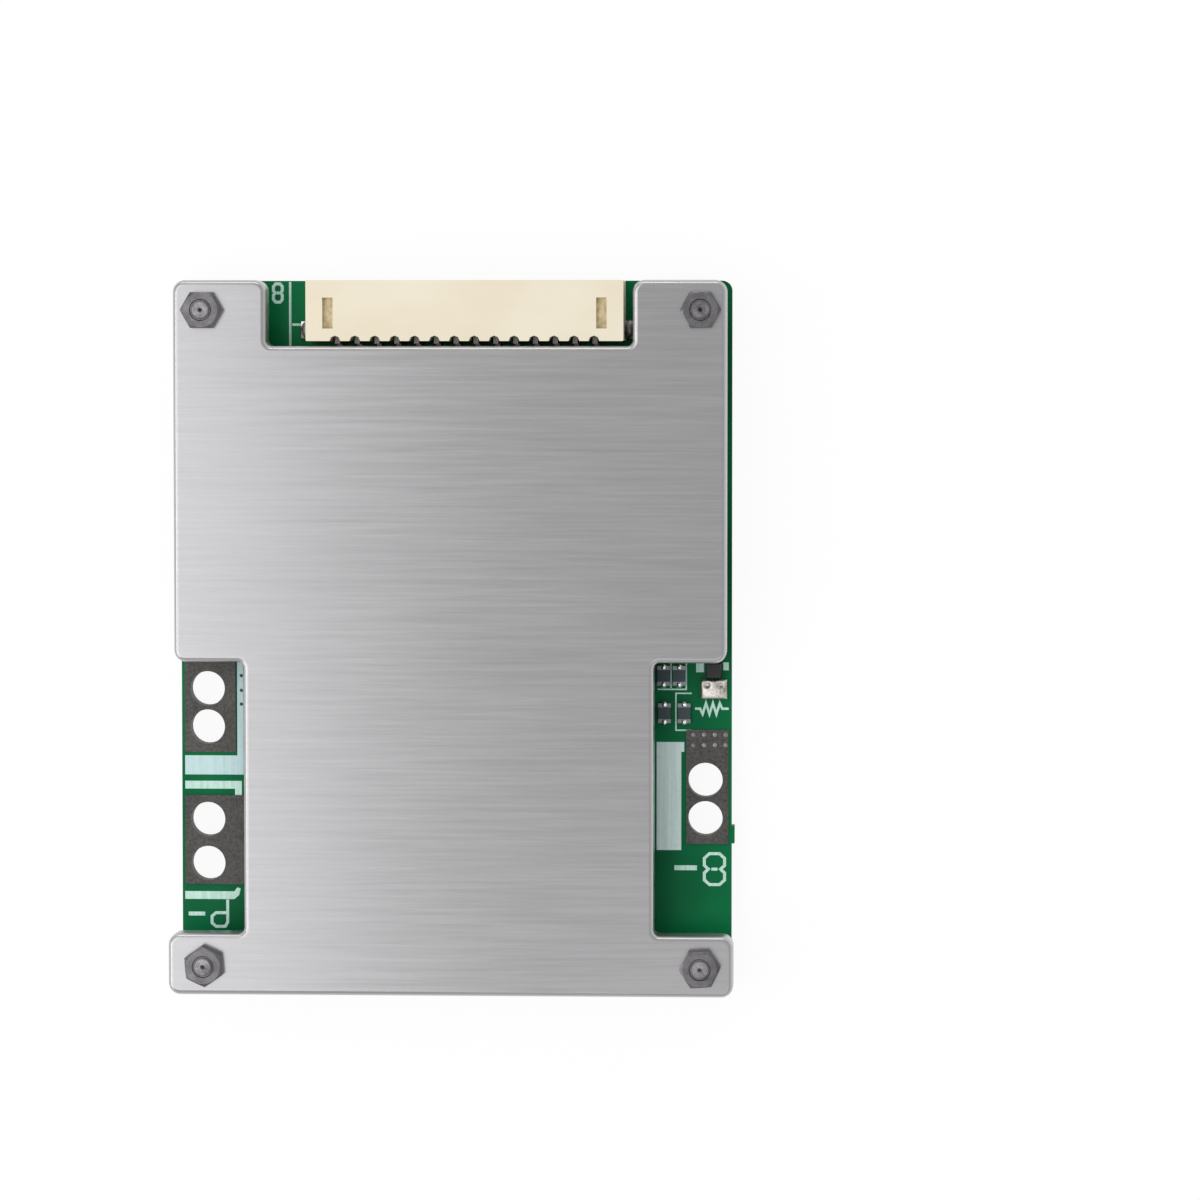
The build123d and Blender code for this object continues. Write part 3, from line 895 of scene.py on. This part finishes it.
# Strokes of a numeral, in a cell one unit wide and one unit high
EIGHT = (
    ((0.25, 0), (0.75, 0), (1, 0.15), (1, 0.38), (0.8, 0.5), (1, 0.62), (1, 0.85), (0.75, 1),
     (0.25, 1), (0, 0.85), (0, 0.62), (0.2, 0.5), (0, 0.38), (0, 0.15), (0.25, 0)),
    ((0.35, 0.5), (0.65, 0.5)),
)


def left_legend():
    """Bars at the left-hand lands and a terminal sign: a lead that ends in a ring."""
    width = bpy.context.scene.board_legend.line_width
    corner = [(-27.5, -15.65), (-22.4, -15.65), (-22.4, -16.5), (-21.7, -16.5), (-21.7, -14.85),
              (-27.5, -14.85)]
    ticked = [(-27.55, -26.95), (-22.5, -26.95), (-22.0, -26.5), (-21.85, -25.85), (-22.2, -25.75),
              (-22.5, -26.15), (-27.55, -26.15)]
    shapes = [corner, ticked, bar((-27.2, -25.5), (-28.65, -28.25))]
    lead = [(-23.2, -27.0), (-23.2, -29.3), (-23.45, -29.75), (-24.4, -29.75), (-24.8, -29.4),
            (-24.8, -28.7), (-24.4, -28.35), (-23.35, -28.35)]
    return shapes + stroke(lead, width)


def left_block():
    """The pale block between the two left-hand lands, with a strip along the upper one."""
    block = [(-27.5, -14.2), (-21.5, -14.2), (-21.5, -2.7), (-22.15, -2.7), (-22.15, -12.25),
             (-27.5, -12.25)]
    return [block]


def right_legend():
    """Outlines, a resistor sign and marks in the right-hand notch."""
    width = bpy.context.scene.board_legend.line_width
    shapes = [
        bar((22.4, 24.7), (-23.75, -23.25)),
        bar((24.6, 25.4), (-3.6, -2.6)),
        bar((27.35, 27.9), (-3.4, -2.6)),
    ]
    shapes += numeral(EIGHT, (25.45, 27.5), (-25.2, -22.05))
    zigzag = [(25.25 + i * 0.35, -7.3 + (0.55 if i % 2 else -0.55)) for i in range(6)]
    shapes += stroke([(24.5, -7.3), (25.0, -7.3), *zigzag, (27.25, -7.3), (27.9, -7.3)], width * 0.8)
    shapes += stroke([(24.15, -9.5), (22.55, -9.5), (22.55, -5.75), (24.15, -5.75)], width * 0.5)
    shapes += stroke([(22.05, -2.5), (22.05, -5.2)], width * 0.5)
    shapes += stroke([(20.7, -5.35), (23.6, -5.35), (23.6, -2.5)], width * 0.5)
    return shapes


def right_panel():
    """The wide pale block beside the battery land, stepped out at its top."""
    return [[(20.6, -21.7), (23.1, -21.7), (23.1, -11.7), (23.4, -11.7), (23.4, -10.7), (20.6, -10.7)]]


def top_legend():
    """Lines and a numeral beside the header."""
    shapes = [
        bar((-16.72, -16.48), (29.45, 35.9)),
        bar((-16.4, -15.1), (31.45, 31.7)),
    ]
    return shapes + numeral(EIGHT, (-18.3, -17.4), (33.85, 35.7))


def rear_routes():
    """Paths of the cell-sense tracks on the rear, in millimetres, from the header to the middle."""
    routes = []
    for i in range(13):
        start_x = -12.0 + 2.0 * i
        fan_x = -5.4 + 0.9 * i
        drop = abs(start_x - fan_x)
        bend = [(start_x, 24.0), (fan_x, 24.0 - drop)] if drop else []
        routes.append([(start_x, 27.5), *bend, (fan_x, 6.0 - (i * 5 % 4) * 1.1)])
    return routes


class BOARD_OT_finish_frame(bpy.types.Operator):
    """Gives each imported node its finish"""

    bl_idname = "board.finish_frame"
    bl_label = "Finish the frame"

    def execute(self, context):
        wear("circuit_board", solder_mask())
        wear("header_housing", ivory_nylon())
        wear("terminal_land", dull_tin())
        wear("thermal_pad", soft_silicone())
        tin = pin_tin()
        wear("header_pin", tin)
        wear("header_tab", tin)
        nickel = plated_metal("spacer_nickel", (0.4, 0.39, 0.36, 1), (0.62, 0.6, 0.56, 1), 0.3)
        wear("spacers", nickel)
        self.finish_packages()
        return {"FINISHED"}

    def finish_packages(self):
        black, slate = (0.022, 0.022, 0.025, 1), (0.045, 0.065, 0.075, 1)
        dull = (0.16, 0.18, 0.18, 1)
        tan = (0.34, 0.24, 0.15, 1)
        leg, tab = 2.6 * MM, 1.1 * MM
        for name in sorted(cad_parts):
            if name.startswith("power_transistor"):
                self.wear_package(name, black, "y", leg, tab)
            if name.startswith("shunt"):
                self.wear_package(name, black, "x")
        for name in ("controller_1", "controller_2", "sense_amplifier"):
            self.wear_package(name, black, "y", tab, tab)
        # The sensor is bare epoxy: its metal would start beyond both ends
        self.wear_package("temperature_sensor", black, "y", -tab, -tab)
        self.wear_package("balance_resistors", black, "y")
        self.wear_package("filter_capacitors", tan, "y")
        for name in chip_names():
            self.wear_package(name, slate, "y", metal=dull)
        low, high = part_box("balance_transistors")
        half_body, legs, columns = 0.65 * MM, 1.2 * MM, 12
        first = low.x + legs
        pitch = (high.x - low.x - 2 * legs) / columns
        mask = beside_columns(first, pitch, half_body)
        wear("balance_transistors", leaded_epoxy("balance_transistors", black, mask, BRIGHT_TIN))

    def wear_package(self, name, body, axis, at_low=None, at_high=None, metal=BRIGHT_TIN):
        """A body with metal at both ends of one axis, each a fifth of its length if not given."""
        low, high = (getattr(corner, axis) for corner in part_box(name))
        cap = (high - low) / 5
        mask = outside(axis.upper(), low + (at_low or cap), high - (at_high or cap))
        wear(name, leaded_epoxy(name, body, mask, metal))


class BOARD_OT_heat_plate(bpy.types.Operator):
    """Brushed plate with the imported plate's outline and holes and a rounded upper edge"""

    bl_idname = "board.heat_plate"
    bl_label = "Heat plate"

    def execute(self, context):
        settings = context.scene.board_plate
        outline, *holes = self.loops()
        radius, margin = settings.edge_radius, 0.03 * MM
        profile = [(0.0, PLATE_LOW.z), (0.0, PLATE_HIGH.z - radius - margin)]
        for step in range(settings.edge_steps + 1):
            angle = math.pi / 2 * step / settings.edge_steps
            drop = radius * (1 - math.sin(angle))
            profile.append((radius * (1 - math.cos(angle)), PLATE_HIGH.z - drop))
        profile.append((radius + margin, PLATE_HIGH.z))
        shape = bmesh.new()
        rings = [self.ring(shape, moved_left(outline, inset, True), z) for inset, z in profile]
        for below, above in zip(rings[1:], rings[2:]):
            self.bridge(shape, below, above, smooth=True)
        self.bridge(shape, rings[0], rings[1], smooth=False)
        bores = [[self.ring(shape, hole, z) for z in (PLATE_LOW.z, PLATE_HIGH.z)] for hole in holes]
        for below, above in bores:
            self.bridge(shape, below, above, smooth=True)
        self.fill(shape, [rings[0], *(below for below, above in bores)])
        self.fill(shape, [rings[-1], *(above for below, above in bores)])
        mesh = finished_mesh("brushed_plate", shape, brushed_aluminium().material)
        add_piece("brushed_plate", mesh, "plate_aluminium", "heat_plate")
        return {"FINISHED"}

    def loops(self):
        """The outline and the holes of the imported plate's lower face, the longest loop first."""
        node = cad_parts["heat_plate"]
        shape = bmesh.new()
        shape.from_mesh(node.data)
        shape.transform(node.matrix_world)
        bmesh.ops.remove_doubles(shape, verts=shape.verts, dist=0.001 * MM)
        foot = [face for face in shape.faces if face.calc_center_median().z < PLATE_LOW.z + 0.01 * MM]
        rest = [face for face in shape.faces if face not in set(foot)]
        bmesh.ops.delete(shape, geom=rest, context="FACES")
        edges = {edge for edge in shape.edges if edge.is_boundary}
        loops = []
        while edges:
            edge = edges.pop()
            first, corner = edge.verts
            loop = [first]
            while corner is not first:
                loop.append(corner)
                edge = next(other for other in corner.link_edges if other in edges)
                edges.remove(edge)
                corner = edge.other_vert(corner)
            loops.append(self.turned_left([point.co.to_2d() for point in loop]))
        shape.free()
        return sorted(loops, key=self.width, reverse=True)

    def width(self, loop):
        return max(point.x for point in loop) - min(point.x for point in loop)

    def turned_left(self, loop):
        """The loop in the direction that keeps its inside on the left."""
        area = sum(loop[i - 1].cross(point) for i, point in enumerate(loop))
        return loop if area > 0 else loop[::-1]

    def ring(self, shape, loop, z):
        return [shape.verts.new((point.x, point.y, z)) for point in loop]

    def bridge(self, shape, below, above, smooth):
        """Faces between two rings with the same number of corners."""
        for i in range(len(below)):
            face = shape.faces.new((below[i - 1], below[i], above[i], above[i - 1]))
            face.smooth = smooth

    def fill(self, shape, rings):
        """A flat face between an outer ring and the rings of the holes."""
        edges = [shape.edges.get((ring[i - 1], ring[i])) for ring in rings for i in range(len(ring))]
        bmesh.ops.triangle_fill(shape, use_beauty=True, edges=edges)


class BOARD_OT_corner_fasteners(bpy.types.Operator):
    """Nuts and screws at the corners, each nut turned as it was tightened"""

    bl_idname = "board.corner_fasteners"
    bl_label = "Corner fasteners"

    def execute(self, context):
        settings = context.scene.board_fasteners
        dark, roughness = (0.075, 0.07, 0.075, 1), 0.26
        zinc = plated_metal("fastener_zinc", dark, (0.15, 0.145, 0.15, 1), roughness)
        centres = screw_centres()
        height = NUT_HIGH.z - NUT_LOW.z
        turns = [math.radians(degrees) for degrees in (95, 0, 4, 1)]
        middle = (NUT_LOW.z + NUT_HIGH.z) / 2
        sizes = {
            "Across Flats": settings.across_flats,
            "Height": height,
            "Bore": settings.thread_diameter + 0.04 * MM,
            "Countersink": 0.08 * MM,
        }
        seeds = seed_points([(x, y, middle) for x, y in centres], turns)
        steel = "fastener_steel"
        add_grown("corner_nuts", nut_pattern(), seeds, sizes, zinc, steel, "hex_nuts")
        sizes = {
            "Head Diameter": settings.head_diameter,
            "Head Height": BOARD_LOW.z,
            "Head Chamfer": 0.4 * MM,
            "Recess Length": 2.0 * MM,
            "Recess Width": 0.5 * MM,
            "Recess Depth": 0.7 * MM,
            "Thread Diameter": settings.thread_diameter,
            "Thread Pitch": settings.thread_pitch,
            "Thread Depth": 0.1 * MM,
            "Length": SCREW_HIGH.z - SCREW_LOW.z,
            "Dimple": 0.6 * MM,
        }
        turns = [math.radians(degrees) for degrees in (20, 65, 10, 40)]
        seeds = seed_points([(x, y, SCREW_LOW.z) for x, y in centres], turns)
        worn = plated_metal("worn_zinc", dark, (0.24, 0.235, 0.24, 1), roughness)
        add_grown("machine_screws", screw_pattern(), seeds, sizes, worn, steel, "corner_screws")
        return {"FINISHED"}


class BOARD_OT_legend(bpy.types.Operator):
    """Printed bars, outlines and numbers on the board"""

    bl_idname = "board.legend"
    bl_label = "Printed legend"

    def execute(self, context):
        settings = context.scene.board_legend
        ink = printed_ink("legend_ink", settings.thin_ink, settings.full_ink)
        lines = printed_ink("line_ink", settings.thin_line, settings.full_line)
        panel = printed_ink("panel_ink", settings.thin_panel, settings.full_panel)
        low, high = BOARD_HIGH.z - settings.thickness, BOARD_HIGH.z + settings.thickness
        groups = {
            "legend_left": (left_legend(), lines),
            "legend_block": (left_block(), ink),
            "legend_right": (right_legend(), lines),
            "legend_top": (top_legend(), lines),
            "legend_panel": (right_panel(), panel),
        }
        for name, (polygons, finish) in groups.items():
            add_piece(name, slab(name, polygons, low, high, finish.material), "board_green")
        return {"FINISHED"}


class BOARD_OT_chip_joints(bpy.types.Operator):
    """Bright solder at the ends of the chips in the right-hand notch"""

    bl_idname = "board.chip_joints"
    bl_label = "Chip joints"

    def execute(self, context):
        inset = 0.12 * MM
        places = []
        for name in chip_names():
            low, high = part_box(name)
            x = (low.x + high.x) / 2
            places += [(x, y, BOARD_HIGH.z) for y in (low.y + inset, high.y - inset)]
        sizes = {"Width": 0.8 * MM, "Height": 0.66 * MM}
        seeds = seed_points(places)
        add_grown("chip_joints", dome_pattern(), seeds, sizes, bright_solder(), "land_solder")
        return {"FINISHED"}


class BOARD_OT_sensor_joint(bpy.types.Operator):
    """Pillow of solder over the sensor's two leads"""

    bl_idname = "board.sensor_joint"
    bl_label = "Sensor joint"

    def execute(self, context):
        low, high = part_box("sensor_solder")
        steps = 24
        shape = bmesh.new()
        rows = []
        for j in range(steps + 1):
            v = 2 * j / steps - 1
            rows.append([shape.verts.new(self.point(low, high, 2 * i / steps - 1, v))
                         for i in range(steps + 1)])
        for j in range(steps):
            for i in range(steps):
                shape.faces.new((rows[j][i], rows[j][i + 1], rows[j + 1][i + 1], rows[j + 1][i]))
        rim = [edge for edge in shape.edges if edge.is_boundary]
        wall = bmesh.ops.extrude_edge_only(shape, edges=rim)["geom"]
        for item in wall:
            if isinstance(item, bmesh.types.BMVert):
                item.co.z = low.z
        foot = [edge for edge in shape.edges if edge.is_boundary]
        bmesh.ops.contextual_create(shape, geom=foot)
        shape.normal_update()
        for face in shape.faces:
            face.smooth = abs(face.normal.z) > 0.1
        solder = satin_solder("pillow_solder", (0.24, 0.225, 0.2, 1), (0.66, 0.63, 0.59, 1))
        mesh = finished_mesh("sensor_pillow", shape, solder.material)
        add_piece("sensor_pillow", mesh, "land_solder", "sensor_solder")
        return {"FINISHED"}

    def point(self, low, high, u, v):
        """A point of the pillow's top, u and v running from -1 to 1."""
        flatness, fullness, rim_share = 5, 0.35, 0.45
        dent_u, dent_v, dent_width, dent_length, dent_depth = 0.5, 0.45, 0.22, 0.26, 0.3 * MM
        swell = ((1 - abs(u) ** flatness) * (1 - abs(v) ** flatness)) ** fullness
        rise = (high.z - low.z) * (rim_share + (1 - rim_share) * swell)
        for side in (-1, 1):
            near = math.hypot((u - side * dent_u) / dent_width, (v - dent_v) / dent_length)
            rise -= dent_depth * math.exp(-near * near)
        x = (low.x + high.x) / 2 + u * (high.x - low.x) / 2
        y = (low.y + high.y) / 2 + v * (high.y - low.y) / 2
        return Vector((x, y, low.z + rise))


class BOARD_OT_header_joints(bpy.types.Operator):
    """Solder at the feet of the header's pins and tabs"""

    bl_idname = "board.header_joints"
    bl_label = "Header joints"

    def execute(self, context):
        settings = context.scene.board_header
        solder = satin_solder("joint_solder", (0.12, 0.12, 0.115, 1), (0.34, 0.33, 0.32, 1))
        heel = 0.5 * MM
        along_pin, round_tab = (1.0, 1.5, 1.0), (1.4, 1.9, 1.0)
        places = []
        stretches = []
        for name in sorted(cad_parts):
            low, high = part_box(name)
            x = (low.x + high.x) / 2
            if name.startswith("header_pin"):
                places.append((x, low.y + heel, BOARD_HIGH.z))
                stretches.append(along_pin)
            if name.startswith("header_tab"):
                places.append((x, (low.y + high.y) / 2, BOARD_HIGH.z))
                stretches.append(round_tab)
        sizes = {"Width": settings.joint_width, "Height": settings.joint_height}
        seeds = seed_points(places, stretches=stretches)
        add_grown("header_joints", dome_pattern(), seeds, sizes, solder, "land_solder")
        return {"FINISHED"}


class BOARD_OT_vias(bpy.types.Operator):
    """Filled vias on the battery land, tented ones on the left and open ones on the rear"""

    bl_idname = "board.vias"
    bl_label = "Vias"

    def execute(self, context):
        settings = context.scene.board_solder
        tin = satin_solder("via_solder", (0.09, 0.09, 0.085, 1), (0.24, 0.235, 0.23, 1))
        first_x, pitch, rows, columns = 24.3, 1.1, (-9.95, -11.0), 4
        places = [((first_x + pitch * i) * MM, y * MM, TIN_TOP) for y in rows for i in range(columns)]
        sizes = {"Width": settings.via_diameter, "Height": 0.06 * MM}
        add_grown("filled_vias", dome_pattern(), seed_points(places), sizes, tin, "land_solder")
        ink_top = BOARD_HIGH.z + context.scene.board_legend.thickness
        strip_x, heights = -21.72, (-4.1, -5.6, -7.0)
        places = [(strip_x * MM, y * MM, ink_top) for y in heights]
        sizes = {"Width": 0.36 * MM, "Height": 0.03 * MM}
        tin = dull_tin()
        add_grown("tented_vias", dome_pattern(), seed_points(places), sizes, tin, "land_solder")
        places = [(x * MM, y * MM, BOARD_LOW.z) for x, y in self.rear_places()]
        sizes = {"Diameter": 0.6 * MM, "Hole": 0.26 * MM, "Height": 0.04 * MM}
        tin = bright_solder()
        add_grown("open_vias", ring_pattern(), seed_points(places), sizes, tin, "land_solder")
        return {"FINISHED"}

    def rear_places(self):
        """The ends of the rear tracks and three staggered rows between them and the buses."""
        places = [route[end] for route in rear_routes() for end in (0, -1)]
        left, pitch, columns = -18.0, 1.8, 20
        for row, y in enumerate((1.6, 0.2, -1.2)):
            first = left + pitch / 2 * (row % 2)
            places += [(first + pitch * i, y) for i in range(columns)]
        return places


class BOARD_OT_rear_tinning(bpy.types.Operator):
    """Solder beads along the rear buses and tracks under the rear mask"""

    bl_idname = "board.rear_tinning"
    bl_label = "Rear tinning"

    def execute(self, context):
        settings = context.scene.board_solder
        # Left and right end of each bus, and where its beads lie from its land's middle, in mm
        three_beads, two_beads = (-2.0, 0.0, 2.0), (0.6, 2.8)
        buses = {
            "charge": (-20.5, 10.5, three_beads),
            "load": (-17.5, 10.5, three_beads),
            "battery": (-4.5, 22.5, two_beads),
        }
        paths = []
        for name, (left, right, lines) in buses.items():
            low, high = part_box(f"terminal_land_{name}")
            middle = (low.y + high.y) / 2
            for offset in lines:
                paths.append([(x * MM, middle + offset * MM, 0) for x in (left, right)])
        sizes = {
            "Width": settings.bead_width,
            "Height": settings.bead_height,
            "Level": TIN_BOTTOM,
            "Sample Count": 60,
        }
        tin = satin_solder("bus_solder", (0.3, 0.295, 0.28, 1), BRIGHT_TIN)
        add_grown("bus_beads", bead_pattern(), seed_paths(paths), sizes, tin, "land_solder")
        track_width, height, sunk = 0.35, 0.04 * MM, 0.02 * MM
        tracks = []
        for route in rear_routes():
            tracks += stroke(route, track_width)
        low, high = BOARD_LOW.z - height, BOARD_LOW.z + sunk
        mesh = slab("rear_tracks", tracks, low, high, bpy.data.materials["board_green"])
        add_piece("rear_tracks", mesh, "board_green")
        return {"FINISHED"}


class BOARD_OT_stage(bpy.types.Operator):
    """Pale floor, soft studio light and the camera above the board"""

    bl_idname = "board.stage"
    bl_label = "Stage"

    def execute(self, context):
        settings = context.scene.board_stage
        self.floor(settings)
        self.world(context.scene, settings)
        self.lamp("key_softbox", (-0.23, 0.0, 0.47), (0.34, 0.5), 6.0, settings.key_power)
        self.lamp("foot_softbox", (0.09, -0.2, 0.47), (0.22, 0.24), 0.0, settings.foot_power)
        self.lamp("head_strip", (-0.06, 0.55, 0.36), (0.5, 0.16), 0.0, settings.head_power)
        self.lamp("side_strip", (-0.5, -0.16, 0.36), (0.16, 0.5), 0.0, settings.side_power)
        self.camera(context.scene)
        context.scene.view_settings.view_transform = "Standard"
        return {"FINISHED"}

    def seen(self, graph):
        """1 for what the camera sees, straight or in metal or glass."""
        names = ("Is Camera Ray", "Is Glossy Ray", "Is Transmission Ray")
        rays = [graph.node("ShaderNodeLightPath", output=name) for name in names]
        return graph.largest(*rays)

    def floor(self, settings):
        half = settings.floor_size / 2
        corners = [(-half, -half, 0), (half, -half, 0), (half, half, 0), (-half, half, 0)]
        mesh = bpy.data.meshes.new("floor")
        mesh.from_pydata(corners, [], [(0, 1, 2, 3)])
        paper = Finish("floor_paper", {"Base Color": (0.9, 0.9, 0.9, 1), "Roughness": 0.9})
        glow = paper.node("ShaderNodeEmission", None, {"Color": WHITE, "Strength": 1.0})
        base = Wire(paper, paper.shader.outputs[0])
        share = self.seen(paper) * settings.floor_glow
        both = paper.node("ShaderNodeMixShader", None, {0: share, 1: base, 2: glow})
        end = paper.tree.nodes["Material Output"]
        paper.tree.links.new(both.socket, end.inputs["Surface"])
        mesh.materials.append(paper.material)
        floor = bpy.data.objects.new("floor", mesh)
        bpy.context.scene.collection.objects.link(floor)

    def world(self, scene, settings):
        scene.world = bpy.data.worlds.new("studio")
        scene.world.use_nodes = True
        graph = Graph(scene.world.node_tree)
        share = self.seen(graph)
        strength = share + (1 - share) * settings.room_light
        backdrop = scene.world.node_tree.nodes["Background"]
        backdrop.inputs["Color"].default_value = WHITE
        scene.world.node_tree.links.new(strength.socket, backdrop.inputs["Strength"])

    def lamp(self, name, place, size, turn, power):
        """A softbox aimed at the board's middle, turned by some degrees about its own axis."""
        light = bpy.data.lights.new(name, "AREA")
        light.shape = "RECTANGLE"
        light.size, light.size_y = size
        light.energy = power
        lamp = bpy.data.objects.new(name, light)
        aim = self.aimed(Vector(place), Vector((0, 0, 0)))
        lamp.matrix_world = aim @ Matrix.Rotation(math.radians(turn), 4, "Z")
        bpy.context.scene.collection.objects.link(lamp)

    def camera(self, scene):
        """The photograph's view: high over the board's upper right, long lens, +Y up."""
        lens = bpy.data.cameras.new("camera")
        lens.lens = 147.5
        lens.sensor_width = 36
        lens.clip_start = 0.01
        camera = bpy.data.objects.new("camera", lens)
        place = Vector((39.5, 28.65, 500.0)) * MM
        target = Vector((15.14, 4.0, 8.9)) * MM
        camera.matrix_world = self.aimed(place, target)
        scene.collection.objects.link(camera)
        scene.camera = camera

    def aimed(self, place, target):
        """The matrix of a lamp or camera that looks at a target with +Y as near up as it goes."""
        back = (place - target).normalized()
        right = Vector((0, 1, 0)).cross(back).normalized()
        turn = Matrix((right, back.cross(right), back)).transposed()
        return Matrix.Translation(place) @ turn.to_4x4()


class BOARD_PT_dress(bpy.types.Panel):
    """Lists the steps that dress the board"""

    bl_idname = "BOARD_PT_dress"
    bl_label = "Battery board"
    bl_space_type = "VIEW_3D"
    bl_region_type = "UI"
    bl_category = "Board"

    def draw(self, context):
        for step in STEPS:
            self.layout.operator(step.bl_idname)
        for label in SETTINGS:
            group = getattr(context.scene, label)
            box = self.layout.box()
            for name in group.__annotations__:
                box.prop(group, name)


STEPS = (
    BOARD_OT_finish_frame,
    BOARD_OT_heat_plate,
    BOARD_OT_corner_fasteners,
    BOARD_OT_legend,
    BOARD_OT_chip_joints,
    BOARD_OT_sensor_joint,
    BOARD_OT_header_joints,
    BOARD_OT_vias,
    BOARD_OT_rear_tinning,
    BOARD_OT_stage,
)
SETTINGS = {
    "board_plate": PlateSettings,
    "board_mask": MaskSettings,
    "board_header": HeaderSettings,
    "board_solder": SolderSettings,
    "board_legend": LegendSettings,
    "board_fasteners": FastenerSettings,
    "board_stage": StageSettings,
}


def register():
    for label, group in SETTINGS.items():
        bpy.utils.register_class(group)
        setattr(bpy.types.Scene, label, PointerProperty(type=group))
    for step in STEPS:
        bpy.utils.register_class(step)
    bpy.utils.register_class(BOARD_PT_dress)


def unregister():
    bpy.utils.unregister_class(BOARD_PT_dress)
    for step in reversed(STEPS):
        bpy.utils.unregister_class(step)
    for label, group in SETTINGS.items():
        delattr(bpy.types.Scene, label)
        bpy.utils.unregister_class(group)


def main():
    """Dresses the board from the first step to the stage."""
    register()
    for step in STEPS:
        getattr(bpy.ops.board, step.bl_idname.split(".")[1])()


if __name__ == "__main__":
    main()
